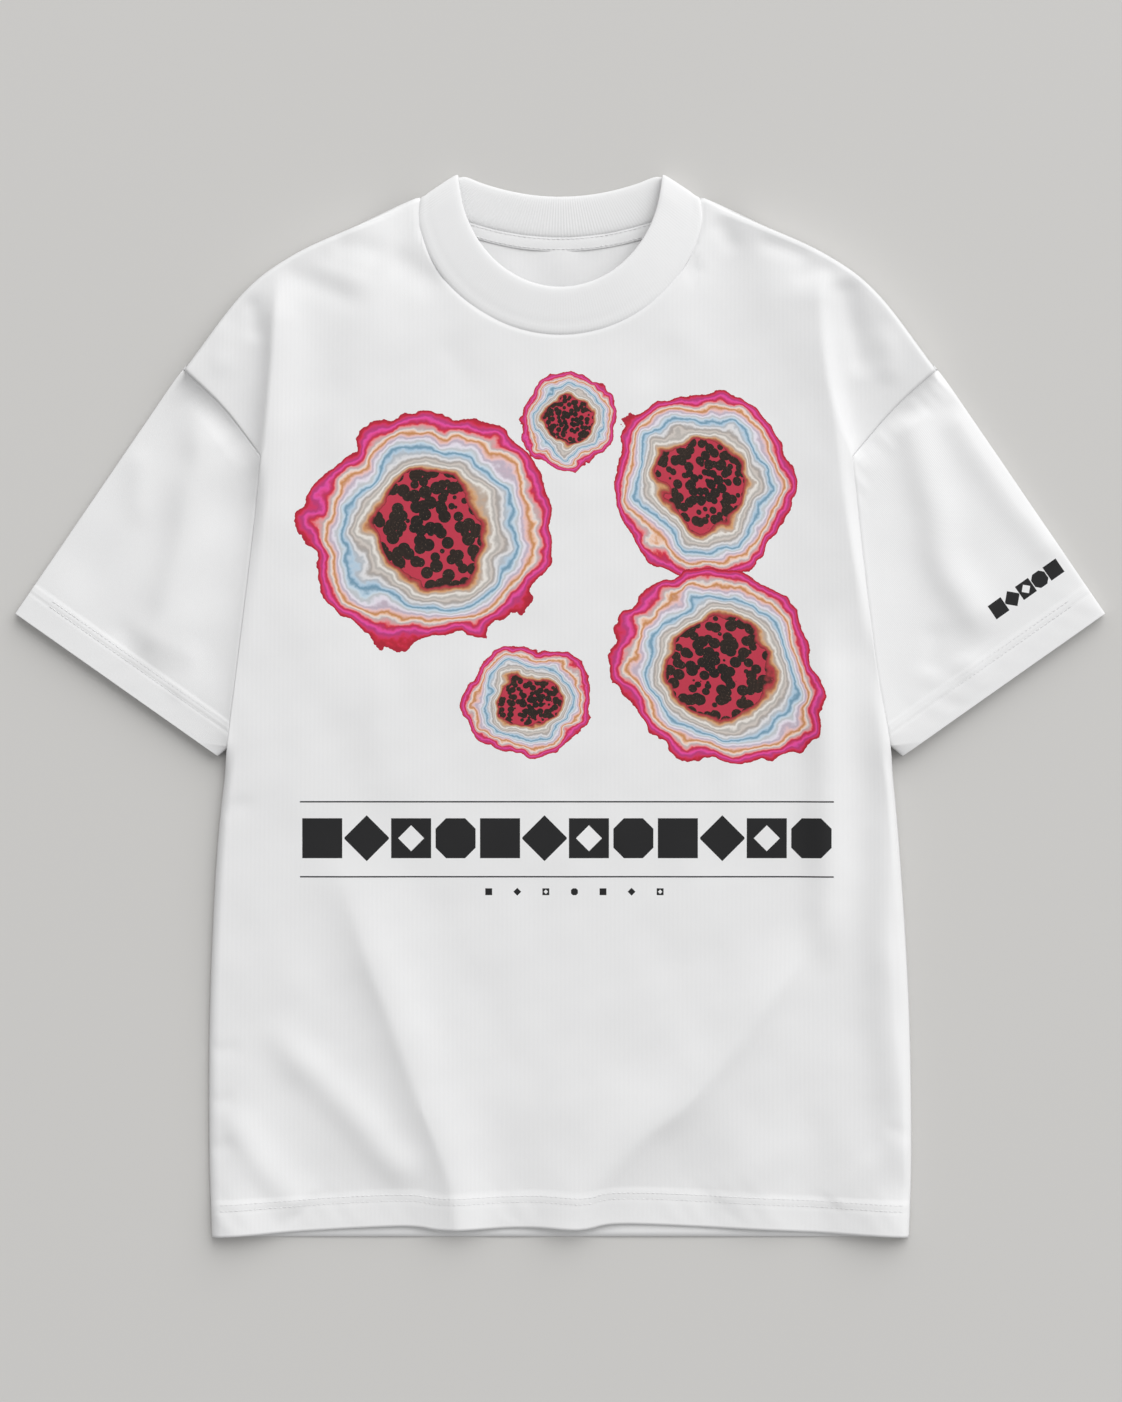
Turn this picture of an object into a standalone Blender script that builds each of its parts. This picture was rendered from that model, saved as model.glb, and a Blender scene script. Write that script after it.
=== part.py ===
# An oversized, drop-shouldered T-shirt with a ribbed crew neck, laid out flat on its back.
# Metres, +Z up: the back panel lies on the ground, +Y points to the collar and +X to the
# right of someone who looks down on it. The origin is on the ground, under the middle.

import math

import bmesh
import bpy
import numpy as np
from mathutils import Vector
from mathutils.bvhtree import BVHTree

# Cloth
JERSEY = 0.0012
RIB = 0.0024
TAPE = 0.0008
THREAD_RADIUS = 0.0003
RESTING_GAP = 0.0004
SEAM_GAP = 0.0016
BACK_INSET = 0.0010

# Heights of the upper layer over the ground
CHEST_HEIGHT = 0.0170
HEM_MOUTH = 0.0130
SHOULDER_CAP = 0.0120
SLEEVE_HEIGHT = 0.0120
SLEEVE_TUCKED = 0.0095
RIM_HEIGHT = 0.0030
RIM_OVER_SLEEVE = 0.0113
RIM_AT_ARMHOLE = 0.0140
RIM_AT_NECK = 0.0095
NECK_RIM_FADES = (0.1050, 0.1500)
EDGE_ROLL = 0.0220
TUCK_ROLL = 0.0140
HEM_DIPS_OVER = 0.0900
OVER_SLEEVE_FROM = (-0.0550, -0.0250)
TOWARDS_ARMHOLE = (0.1000, 0.1740)

# Outline of the body. Each row is a height up the garment and the half widths, left and right.
BODY_EDGE = [
    (-0.3725, 0.2445, 0.2450),
    (-0.3100, 0.2465, 0.2468),
    (-0.2100, 0.2460, 0.2450),
    (-0.1030, 0.2410, 0.2385),
    (-0.0280, 0.2330, 0.2310),
    (0.0250, 0.2265, 0.2215),
    (0.1020, 0.2170, 0.2120),
    (0.1740, 0.2088, 0.2040),
]
# The armhole seam, from the end of the overhang out to the tip of the shoulder
ARMHOLE = [
    (0.1740, 0.2088, 0.2040),
    (0.2080, 0.2350, 0.2335),
    (0.2360, 0.2640, 0.2640),
]
# The same seam where the body lies over the sleeve, from the underarm up
HIDDEN_ARMHOLE = [
    (-0.0150, 0.2060, 0.2030),
    (0.0450, 0.1985, 0.1950),
    (0.1100, 0.1990, 0.1950),
    (0.1740, 0.2088, 0.2040),
]
# The crease from the shoulder down to the armhole, where the chest stands over the sleeve cap
CREASE = [
    (0.1740, 0.2088, 0.2040),
    (0.2400, 0.2029, 0.1940),
    (0.3000, 0.2031, 0.1920),
]
CREASE_FADES = (0.2650, 0.3000)
CREASE_WIDTH = 0.0140
SHOULDER = [(0.1000, 0.3560), (0.1390, 0.3390), (0.1870, 0.3170), (0.2230, 0.2895), (0.2640, 0.2360)]
# The front hem rises a little off the straight back hem. X, then the rise.
BACK_HEM = -0.3725
FRONT_HEM_RISE = [
    (-0.2450, 0.0000),
    (-0.1187, 0.0073),
    (-0.0800, 0.0050),
    (-0.0200, 0.0066),
    (0.0160, 0.0055),
    (0.0450, 0.0090),
    (0.1400, 0.0050),
    (0.2450, 0.0000),
]

# Sleeve
CUFF_TOP = (0.3820, 0.0648)
CUFF_BOTTOM = (0.2400, -0.0350)
UNDERARM = (0.2080, -0.0110)
CLEAR_OF_CUFF = 0.0080
TUCKED_FROM_EDGE = (-0.0120, 0.0000)
TUCK_FADES = (0.0900, 0.1650)

# Neck: both edges of the ribbed band are half ellipses in front and shallow arcs behind
NECK_HALF = 0.0995
NECK_TOP = 0.3560
NECK_FRONT_DROP = 0.0950
NECK_BACK_DROP = 0.0255
FREE_HALF = 0.0712
FREE_TOP = 0.3728
FREE_FRONT_DROP = 0.0805
FREE_BACK_DROP = 0.0160
RIB_FREE_LIFT = 0.0018
RIB_BACK_LIFT = 0.0012
RIB_BACK = 0.0017
RIB_BACK_REACH = 0.93
# The band is folded over along the line between its two corners
FOLD_LINE_NORMAL = (0.494, 0.869)
FOLD_INSET = 0.0032
FOLD_BULGE = 0.5
FOLD_ANGLES = (50.0, 0.0, -50.0)
TAPE_WIDTH = 0.0104
TAPE_REACH = 0.0860
TAPE_STITCH_INSETS = (0.0016, 0.0088)
TAPE_STITCH_MARGIN = 0.0040

# Twin-needle stitching: distance of the two rows from a folded edge
STITCH_ROWS = (0.0180, 0.0235)
STITCH_SIDE_MARGIN = 0.0300
CUFF_STITCH_MARGIN = 0.0160

# Mesh fineness
NECK_COLUMNS = 16
SHOULDER_COLUMNS = 7
PANEL_ROWS = 25
ROWS_CROWD_UP = 0.10
OUTLINE_STEPS = 6
SLEEVE_STATIONS = 10
SLEEVE_ACROSS = 12
SLEEVE_SQUARENESS = 7.0
RIB_BACK_STATIONS = 12
RIB_ACROSS = 2
THREAD_POINTS = 32

WHITE_JERSEY = ("white_jersey", (0.86, 0.86, 0.86), 0.90)
WHITE_RIB = ("white_rib", (0.84, 0.84, 0.84), 0.92)
WHITE_TAPE = ("white_tape", (0.86, 0.86, 0.86), 0.88)
WHITE_THREAD = ("white_thread", (0.90, 0.90, 0.90), 0.60)


def clear_scene():
    for found in list(bpy.data.objects):
        bpy.data.objects.remove(found)


def finish(name, made, cloth):
    mesh = bpy.data.meshes.new(name)
    made.to_mesh(mesh)
    made.free()
    piece = bpy.data.objects.new(name, mesh)
    bpy.context.scene.collection.objects.link(piece)
    dye(piece, cloth)
    mesh.shade_smooth()
    return piece


def dye(piece, cloth):
    name, colour, roughness = cloth
    material = bpy.data.materials.get(name) or bpy.data.materials.new(name)
    material.use_nodes = True
    shader = material.node_tree.nodes["Principled BSDF"]
    shader.inputs["Base Color"].default_value = (*colour, 1.0)
    shader.inputs["Roughness"].default_value = roughness
    shader.inputs["Metallic"].default_value = 0.0
    piece.data.materials.append(material)


def smooth_curve(points, steps=OUTLINE_STEPS):
    # A Catmull-Rom curve through the points
    known = np.array(points, float)
    ends = np.vstack([2 * known[0] - known[1], known, 2 * known[-1] - known[-2]])
    found = []
    for i in range(len(known) - 1):
        before, start, end, after = ends[i : i + 4]
        for t in np.linspace(0.0, 1.0, steps, endpoint=False):
            found.append(
                0.5
                * (
                    2 * start
                    + (end - before) * t
                    + (2 * before - 5 * start + 4 * end - after) * t**2
                    + (3 * start - before - 3 * end + after) * t**3
                )
            )
    found.append(known[-1])
    return np.array(found)


def half_width(rows, height, side):
    # The half width of an outline at this height up the garment. Side is -1 for left, 1 for right.
    curve = smooth_curve(rows)
    return float(np.interp(height, curve[:, 0], curve[:, 1 if side < 0 else 2]))


def ease(value, low, high):
    t = min(1.0, max(0.0, (value - low) / (high - low)))
    return t * t * (3.0 - 2.0 * t)


def rounded(distance, radius):
    # The rise of a rolled edge, from 0 at the edge to 1 one radius in
    t = 1.0 - min(1.0, max(0.0, distance) / radius)
    return math.sqrt(1.0 - t * t)


def distance_to(path, x, y):
    start, end = path[:-1], path[1:]
    along = end - start
    to_point = np.array([x, y]) - start
    t = np.clip((to_point * along).sum(1) / (along * along).sum(1), 0.0, 1.0)
    return float(np.linalg.norm(to_point - along * t[:, None], axis=1).min())


def front_edge(side):
    # The visible side of the front: up the body's edge, then out along the armhole seam
    rows = np.vstack([smooth_curve(BODY_EDGE), smooth_curve(ARMHOLE)[1:]])
    return rows[:, [0, 1 if side < 0 else 2]]


def back_edge(side):
    # The back panel stops at the whole armhole seam, which the front lies over
    body = smooth_curve(BODY_EDGE)
    below_sleeve = body[body[:, 0] < CUFF_BOTTOM[1] - CLEAR_OF_CUFF]
    rows = np.vstack([below_sleeve, smooth_curve(HIDDEN_ARMHOLE), smooth_curve(ARMHOLE)[1:]])
    return rows[:, [0, 1 if side < 0 else 2]]


def front_neck_y(x):
    half = NECK_HALF + SEAM_GAP
    return NECK_TOP - (NECK_FRONT_DROP + SEAM_GAP) * math.sqrt(max(0.0, 1.0 - (x / half) ** 2))


def back_neck_y(x):
    return NECK_TOP - NECK_BACK_DROP * (1.0 - (x / NECK_HALF) ** 2)


def shoulder_y(x):
    curve = smooth_curve(SHOULDER)
    return float(np.interp(abs(x), curve[:, 0], curve[:, 1]))


def front_hem_y(x):
    curve = smooth_curve(FRONT_HEM_RISE)
    return BACK_HEM + float(np.interp(x, curve[:, 0], curve[:, 1]))


SHOULDER_PATHS = {side: smooth_curve(SHOULDER) * [side, 1] for side in (-1, 1)}
BODY_PATHS = {
    side: smooth_curve(BODY_EDGE)[:, [1 if side < 0 else 2, 0]] * [side, 1] for side in (-1, 1)
}


def front_height(x, y):
    # Height of the upper face of the front panel
    side = -1 if x < 0 else 1
    height = HEM_MOUTH + (CHEST_HEIGHT - HEM_MOUTH) * ease(y, BACK_HEM, BACK_HEM + HEM_DIPS_OVER)
    if y > ARMHOLE[0][0]:
        past_crease = abs(x) - half_width(CREASE, y, side)
        drop = ease(past_crease, 0.0, CREASE_WIDTH) * (1.0 - ease(y, *CREASE_FADES))
        height -= (CHEST_HEIGHT - SHOULDER_CAP) * drop
    rim = RIM_AT_NECK + (RIM_HEIGHT - RIM_AT_NECK) * ease(abs(x), *NECK_RIM_FADES)
    from_shoulder = distance_to(SHOULDER_PATHS[side], x, y)
    height = rim + (height - rim) * rounded(from_shoulder, EDGE_ROLL)
    if y <= ARMHOLE[0][0]:
        over_sleeve = ease(y, *OVER_SLEEVE_FROM)
        rim = RIM_HEIGHT + (RIM_OVER_SLEEVE - RIM_HEIGHT) * over_sleeve
        rim += (RIM_AT_ARMHOLE - RIM_OVER_SLEEVE) * ease(y, *TOWARDS_ARMHOLE)
        roll = EDGE_ROLL + (TUCK_ROLL - EDGE_ROLL) * over_sleeve
        from_side = distance_to(BODY_PATHS[side], x, y)
        height = rim + (height - rim) * rounded(from_side, roll)
    return height


def neck_angles():
    # The neckline's points, which the front panel and the ribbed band share
    return np.linspace(-math.pi / 2, math.pi / 2, NECK_COLUMNS + 1)


def column_places():
    # Columns of the front as shares of its half width, with the neck's corners on two of them
    neck_share = (NECK_HALF + SEAM_GAP) / ARMHOLE[-1][1]
    outer = np.sin(np.linspace(0.0, math.pi / 2, SHOULDER_COLUMNS + 1))[1:]
    outer = neck_share + (1.0 - neck_share) * outer
    return np.concatenate([-outer[::-1], neck_share * np.sin(neck_angles()), outer])


def front_panel():
    places = column_places()
    left, right = front_edge(-1), front_edge(1)
    tip, tip_half = ARMHOLE[-1][:2]
    made = bmesh.new()
    bmesh.ops.create_grid(made, x_segments=len(places) - 1, y_segments=PANEL_ROWS, size=1.0)
    for vert in made.verts:
        share = places[round((vert.co.x + 1.0) / 2.0 * (len(places) - 1))]
        up = (vert.co.y + 1.0) / 2.0
        up = up + ROWS_CROWD_UP * math.sin(math.pi * up) * up
        level = BACK_HEM + (tip - BACK_HEM) * up
        edge = left if share < 0 else right
        # Only the outer columns follow the edge in and out
        narrower = (tip_half - float(np.interp(level, edge[:, 0], edge[:, 1]))) * share * share
        x = share * (tip_half - narrower)
        top_x = share * tip_half
        top = front_neck_y(top_x) if abs(top_x) < NECK_HALF + SEAM_GAP else shoulder_y(top_x)
        y = level + (top - tip) * up**5 + (front_hem_y(x) - BACK_HEM) * (1.0 - up) ** 4
        vert.co = (x, y, front_height(x, y))
    piece = finish("front_panel", made, WHITE_JERSEY)
    thickness = piece.modifiers.new("cloth", "SOLIDIFY")
    thickness.thickness = JERSEY
    thickness.offset = -1.0
    return piece


def back_panel():
    steps = np.linspace(-1.0, 1.0, 2 * NECK_COLUMNS + 1)
    neck = [(x, back_neck_y(x) - SEAM_GAP) for x in steps * (NECK_HALF + BACK_INSET)]
    outline = []
    for side in (-1, 1):
        rows = back_edge(side)
        edge = [(side * (half - BACK_INSET), y) for y, half in rows[:-1]]
        shoulder = [(side * x, y - BACK_INSET) for x, y in smooth_curve(SHOULDER)[:-1]]
        edge.extend(shoulder[:0:-1])
        outline.append(edge)
    ring = outline[0] + neck + outline[1][::-1]
    made = bmesh.new()
    face = made.faces.new([made.verts.new((x, y, 0.0)) for x, y in ring])
    bmesh.ops.triangulate(made, faces=[face])
    lifted = bmesh.ops.extrude_face_region(made, geom=made.faces[:])["geom"]
    upper = [part for part in lifted if isinstance(part, bmesh.types.BMVert)]
    bmesh.ops.translate(made, verts=upper, vec=(0.0, 0.0, JERSEY))
    bmesh.ops.recalc_face_normals(made, faces=made.faces[:])
    return finish("back_panel", made, WHITE_JERSEY)


def sleeve_armhole(side, share):
    # A point of the sleeve's inner end, from the shoulder at share 0 to the underarm at 1
    rows = np.vstack([smooth_curve(HIDDEN_ARMHOLE), smooth_curve(ARMHOLE)[1:]])
    path = rows[::-1][:, [1 if side < 0 else 2, 0]]
    path[-1] = UNDERARM
    lengths = np.concatenate([[0.0], np.cumsum(np.linalg.norm(np.diff(path, axis=0), axis=1))])
    at = share * lengths[-1]
    x, y = (float(np.interp(at, lengths, path[:, k])) for k in (0, 1))
    return Vector((side * (x + SEAM_GAP), y - SEAM_GAP / 2))


def sleeve_place(side, along, across):
    # A Coons patch between the armhole, the cuff and the sleeve's two folds
    cuff_top, cuff_bottom = (Vector((side * x, y)) for x, y in (CUFF_TOP, CUFF_BOTTOM))
    armhole = sleeve_armhole(side, across)
    top, bottom = sleeve_armhole(side, 0.0), sleeve_armhole(side, 1.0)
    cuff = cuff_top.lerp(cuff_bottom, across)
    ruled = armhole.lerp(cuff, along)
    upper_fold = top.lerp(cuff_top, along)
    lower_fold = bottom.lerp(cuff_bottom, along)
    corners = upper_fold.lerp(lower_fold, across)
    straight = top.lerp(bottom, across).lerp(cuff_top.lerp(cuff_bottom, across), along)
    return ruled + corners - straight


def sleeve_height(side, place):
    # The sleeve is pressed down where the body lies over it
    inside = half_width(BODY_EDGE, min(place.y, ARMHOLE[0][0]), side) - abs(place.x)
    pressed = ease(inside, *TUCKED_FROM_EDGE) * (1.0 - ease(place.y, *TUCK_FADES))
    return SLEEVE_HEIGHT - (SLEEVE_HEIGHT - SLEEVE_TUCKED) * pressed


def sleeve_ring(side, along, wall):
    # One section of the sleeve: a flattened loop, drawn in by the wall for the inner face
    found = []
    for layer in (1, -1):
        for step in range(SLEEVE_ACROSS):
            turn = math.pi * step / SLEEVE_ACROSS
            across = 0.5 - 0.5 * math.cos(turn) * layer
            place = sleeve_place(side, along, across)
            ends = sleeve_place(side, along, 0.0), sleeve_place(side, along, 1.0)
            width = (ends[1] - ends[0]).length
            share = max(0.0, 1.0 - wall * 2.0 / width)
            place = ends[0].lerp(ends[1], 0.5) + (place - ends[0].lerp(ends[1], 0.5)) * share
            half = sleeve_height(side, place) / 2.0
            flat = (1.0 - abs(math.cos(turn)) ** SLEEVE_SQUARENESS) ** (1.0 / SLEEVE_SQUARENESS)
            found.append((place.x, place.y, half + layer * (half - wall) * flat))
    return found


def bridge_rings(made, rings, closed=False):
    # Skins closed rings of equal length, one after the other
    count = len(rings)
    for i in range(count if closed else count - 1):
        here, there = rings[i], rings[(i + 1) % count]
        for k in range(len(here)):
            after = (k + 1) % len(here)
            made.faces.new((here[k], here[after], there[after], there[k]))


def sleeve(name, side):
    made = bmesh.new()
    rings = []
    stations = np.linspace(0.0, 1.0, SLEEVE_STATIONS + 1)
    for along in stations:
        rings.append([made.verts.new(p) for p in sleeve_ring(side, along, 0.0)])
    for along in stations[::-1]:
        rings.append([made.verts.new(p) for p in sleeve_ring(side, along, JERSEY)])
    bridge_rings(made, rings, closed=True)
    bmesh.ops.recalc_face_normals(made, faces=made.faces[:])
    return finish(name, made, WHITE_JERSEY)


def rib_stations():
    # Pairs of seam edge and free edge round the neck: the front from left to right, a round
    # turn at the shoulder, the back from right to left, and a turn again
    stations = []
    back = RIB_BACK
    turn = (RIM_AT_NECK - back) / 2.0
    for angle in neck_angles()[1:-1]:
        seam_x, seam_y = NECK_HALF * math.sin(angle), NECK_TOP - NECK_FRONT_DROP * math.cos(angle)
        free_x, free_y = FREE_HALF * math.sin(angle), FREE_TOP - FREE_FRONT_DROP * math.cos(angle)
        level = front_height(seam_x, seam_y) - JERSEY
        stations.append(((seam_x, seam_y, level), (free_x, free_y, level + RIB_FREE_LIFT)))
    behind = []
    for share in np.linspace(RIB_BACK_REACH, -RIB_BACK_REACH, RIB_BACK_STATIONS + 1):
        seam = (NECK_HALF * share, back_neck_y(NECK_HALF * share), back)
        free_y = FREE_TOP - FREE_BACK_DROP * (1.0 - share * share)
        behind.append((seam, (FREE_HALF * share, free_y, back + RIB_BACK_LIFT)))
    turns = {}
    for side in (1, -1):
        outward = Vector((side * FOLD_LINE_NORMAL[0], FOLD_LINE_NORMAL[1], 0.0)) * turn * FOLD_BULGE
        corner = Vector((side * (NECK_HALF - FOLD_INSET), NECK_TOP - FOLD_INSET, back + turn))
        free_corner = Vector((side * FREE_HALF, FREE_TOP - FOLD_INSET, back + turn))
        turns[side] = []
        for angle in np.radians(FOLD_ANGLES):
            push = outward * math.cos(angle) + Vector((0.0, 0.0, turn * math.sin(angle)))
            turns[side].append((tuple(corner + push), tuple(free_corner + push)))
    return stations + turns[1] + behind + turns[-1][::-1]


def neck_rib():
    made = bmesh.new()
    columns = []
    for seam, free in rib_stations():
        seam, free = Vector(seam), Vector(free)
        places = [seam.lerp(free, k / RIB_ACROSS) for k in range(RIB_ACROSS + 1)]
        columns.append([made.verts.new(place) for place in places])
    for i, column in enumerate(columns):
        following = columns[(i + 1) % len(columns)]
        for k in range(RIB_ACROSS):
            made.faces.new((column[k], following[k], following[k + 1], column[k + 1]))
    bmesh.ops.recalc_face_normals(made, faces=made.faces[:])
    piece = finish("neck_rib", made, WHITE_RIB)
    thickness = piece.modifiers.new("doubled_rib", "SOLIDIFY")
    thickness.thickness = RIB
    thickness.offset = 0.0
    return piece


def neck_tape():
    # The tape that covers the back neck seam, sewn on the inner face of the back panel
    made = bmesh.new()
    base = JERSEY + RESTING_GAP
    rings = []
    for x in np.linspace(-TAPE_REACH, TAPE_REACH, 2 * NECK_COLUMNS + 1):
        top = back_neck_y(x) - SEAM_GAP
        corners = [(top, base), (top, base + TAPE), (top - TAPE_WIDTH, base + TAPE), (top - TAPE_WIDTH, base)]
        rings.append([made.verts.new((x, y, z)) for y, z in corners])
    bridge_rings(made, rings)
    made.faces.new(rings[0])
    made.faces.new(rings[-1][::-1])
    bmesh.ops.recalc_face_normals(made, faces=made.faces[:])
    return finish("neck_tape", made, WHITE_TAPE)


def surface_of(piece):
    graph = bpy.context.evaluated_depsgraph_get()
    return BVHTree.FromObject(piece, graph)


def thread_row(name, route, under):
    # One row of stitching, lying on the upper face of the cloth under it
    surface = surface_of(under)
    lift = THREAD_RADIUS + RESTING_GAP
    line = bpy.data.curves.new(name, "CURVE")
    line.dimensions = "3D"
    line.bevel_depth = THREAD_RADIUS
    line.bevel_resolution = 0
    line.use_fill_caps = True
    spline = line.splines.new("POLY")
    spline.points.add(len(route) - 1)
    for point, (x, y) in zip(spline.points, route):
        hit = surface.ray_cast(Vector((x, y, 0.1)), Vector((0.0, 0.0, -1.0)))[0]
        point.co = (x, y, hit.z + lift, 1.0)
    row = bpy.data.objects.new(name, line)
    bpy.context.scene.collection.objects.link(row)
    dye(row, WHITE_THREAD)
    return row


def hem_stitching(front):
    reach = BODY_EDGE[0][1] - STITCH_SIDE_MARGIN
    for number, inset in enumerate(STITCH_ROWS, start=1):
        places = np.linspace(-reach, reach, THREAD_POINTS)
        route = [(x, front_hem_y(x) + inset) for x in places]
        thread_row(f"hem_stitch_row_{number}", route, front)


def cuff_stitching(name, side, under):
    # Two rows along the cuff, from near the sleeve's upper fold to near its lower one
    cuff_top, cuff_bottom = (Vector((side * x, y)) for x, y in (CUFF_TOP, CUFF_BOTTOM))
    along = (cuff_bottom - cuff_top).normalized()
    inward = Vector((-along.y, along.x)) if side < 0 else Vector((along.y, -along.x))
    width = (cuff_bottom - cuff_top).length
    for number, inset in enumerate(STITCH_ROWS, start=1):
        start = cuff_top + inward * inset
        steps = np.linspace(CUFF_STITCH_MARGIN, width - STITCH_SIDE_MARGIN, THREAD_POINTS // 2)
        route = [tuple(start + along * step) for step in steps]
        thread_row(f"{name}_stitch_row_{number}", route, under)


def tape_stitching(tape):
    reach = TAPE_REACH - TAPE_STITCH_MARGIN
    for number, inset in enumerate(TAPE_STITCH_INSETS, start=1):
        places = np.linspace(-reach, reach, THREAD_POINTS)
        route = [(x, back_neck_y(x) - SEAM_GAP - inset) for x in places]
        thread_row(f"tape_stitch_row_{number}", route, tape)


clear_scene()
front = front_panel()
back_panel()
left = sleeve("left_sleeve", -1)
right = sleeve("right_sleeve", 1)
neck_rib()
tape = neck_tape()
bpy.context.view_layer.update()
hem_stitching(front)
cuff_stitching("left_cuff", -1, left)
cuff_stitching("right_cuff", 1, right)
tape_stitching(tape)
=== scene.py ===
# A white, oversized crew neck T-shirt laid flat on its back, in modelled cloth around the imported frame.
# Metres, +Z up, +Y towards the collar, +X to the right of someone who looks down on the chest.
import math

import bmesh
import bpy
import numpy as np
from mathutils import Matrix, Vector


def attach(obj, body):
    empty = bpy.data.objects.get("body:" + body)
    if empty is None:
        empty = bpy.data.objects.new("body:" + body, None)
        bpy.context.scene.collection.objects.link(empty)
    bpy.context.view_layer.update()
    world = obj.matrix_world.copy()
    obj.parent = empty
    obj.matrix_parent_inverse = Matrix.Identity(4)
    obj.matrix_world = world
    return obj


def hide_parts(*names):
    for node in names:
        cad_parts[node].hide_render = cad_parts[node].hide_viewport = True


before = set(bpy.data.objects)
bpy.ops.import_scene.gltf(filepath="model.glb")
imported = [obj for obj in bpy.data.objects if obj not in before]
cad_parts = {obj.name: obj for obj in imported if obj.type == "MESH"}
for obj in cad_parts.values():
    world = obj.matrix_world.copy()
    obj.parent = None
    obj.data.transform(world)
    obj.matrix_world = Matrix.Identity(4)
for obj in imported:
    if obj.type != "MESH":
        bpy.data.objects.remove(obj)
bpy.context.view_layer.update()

# Outlines of the shirt as the solids have them: a place up the garment, then half widths left and right
outline = {
    "bodyEdge": [
        (-0.3725, 0.2445, 0.2450),
        (-0.3100, 0.2465, 0.2468),
        (-0.2100, 0.2460, 0.2450),
        (-0.1030, 0.2410, 0.2385),
        (-0.0280, 0.2330, 0.2310),
        (0.0250, 0.2265, 0.2215),
        (0.1020, 0.2170, 0.2120),
        (0.1740, 0.2088, 0.2040),
    ],
    "armhole": [
        (0.1740, 0.2088, 0.2040),
        (0.2080, 0.2350, 0.2335),
        (0.2360, 0.2640, 0.2640),
    ],
    "hiddenArmhole": [
        (-0.0150, 0.2060, 0.2030),
        (0.0450, 0.1985, 0.1950),
        (0.1100, 0.1990, 0.1950),
        (0.1740, 0.2088, 0.2040),
    ],
    "crease": [
        (0.1740, 0.2088, 0.2040),
        (0.2080, 0.2050, 0.1918),
        (0.2400, 0.2029, 0.1855),
        (0.3000, 0.2031, 0.1825),
    ],
    "shoulder": [(0.1000, 0.3560), (0.1390, 0.3390), (0.1870, 0.3170), (0.2230, 0.2895), (0.2640, 0.2360)],
    "backHem": -0.3725,
    "frontHemRise": [
        (-0.2450, 0.0000),
        (-0.1187, 0.0073),
        (-0.0800, 0.0050),
        (-0.0200, 0.0066),
        (0.0160, 0.0055),
        (0.0450, 0.0090),
        (0.1400, 0.0050),
        (0.2450, 0.0000),
    ],
}

cloth = {"jersey": 0.0012, "rib": 0.0026, "tape": 0.0008, "backInset": 0.0012}

body = {
    "chestHeight": 0.0160,
    "lowHeight": 0.0060,
    "lowersOver": (-0.3725, 0.1600),
    "hemReaches": 0.0950,
    "restsAt": 0.0024,
    "lowest": 0.00135,
    "sideHeight": (0.0140, 0.0100),
    "sideSlope": 0.100,
    "shoulderEdge": 0.0198,
    "shoulderSlope": 0.100,
    "shoulderCurl": 1.5,
    "hemHeights": [
        (-0.245, 0.0088),
        (-0.224, 0.0106),
        (-0.182, 0.0032),
        (-0.112, 0.0038),
        (-0.077, 0.0044),
        (-0.042, 0.0012),
        (0.000, 0.0034),
        (0.042, 0.0018),
        (0.098, 0.0018),
        (0.140, 0.0048),
        (0.182, 0.0030),
        (0.224, 0.0106),
        (0.245, 0.0088),
    ],
    "capHeight": 0.0104,
    "rim": 0.0015,
    "rimOverSleeve": (0.0136, 0.0147),
    "rimAtNeck": 0.0095,
    "neckRimFades": (0.1050, 0.1500),
    "sideRoll": 0.0070,
    "shoulderRoll": 0.0034,
    "rollOverSleeve": 0.0085,
    "overSleeveFrom": (-0.0550, -0.0250),
    "rollFades": 0.0450,
    "creaseFades": (0.2620, 0.3000),
    "creaseWidth": (0.0070, 0.0065),
    "seamDip": (0.0003, 0.0018),
    "tucksUnderRib": 0.0030,
    "neckColumns": 64,
    "outerColumns": 68,
    "rows": 240,
}

hem = {"band": 0.0232, "raised": 0.0008, "needles": (0.0180, 0.0222), "groove": 0.0003}

sleeve = {
    "cuffTop": (0.3820, 0.0648),
    "cuffBottom": (0.2400, -0.0350),
    "underarm": (0.2080, -0.0110),
    "height": ((0.0086, 0.0080), (0.0104, 0.0084)),
    "overBack": 0.0013,
    "tucked": 0.0088,
    "tucksOver": 0.0120,
    "meetsFrom": -0.0600,
    "meetsBelow": 0.0002,
    "carriesOver": (0.0085, 0.0180),
    "seamRise": 0.0070,
    "foldsFadeOver": 0.0200,
    "seamGap": 0.0016,
    "edgeDrop": 0.0011,
    "squareness": 7.0,
    "startsUnder": -0.025,
    "finerEnds": 0.6,
    "around": 220,
    "along": 140,
}

collar = {
    "seamHalf": 0.0995,
    "seamTop": 0.3560,
    "frontDrop": 0.0950,
    "backDrop": 0.0255,
    "freeHalf": 0.0712,
    "freeTop": 0.3728,
    "freeFrontDrop": 0.0805,
    "freeBackDrop": 0.0160,
    "freeLift": 0.0016,
    "backHeight": 0.0021,
    "backLift": 0.0012,
    "foldNormal": (0.494, 0.869),
    "foldInset": 0.0032,
    "ribPitch": 0.0019,
    "ribDepth": 0.00009,
    "stations": 1680,
    "around": 22,
}

tape = {"width": 0.0104, "reach": 0.0900, "liesAbove": 0.0009, "needles": (0.0016, 0.0088)}

stitch = {"length": 0.0027, "pitch": 0.0034, "radius": 0.00028, "sideMargin": 0.0060}

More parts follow.
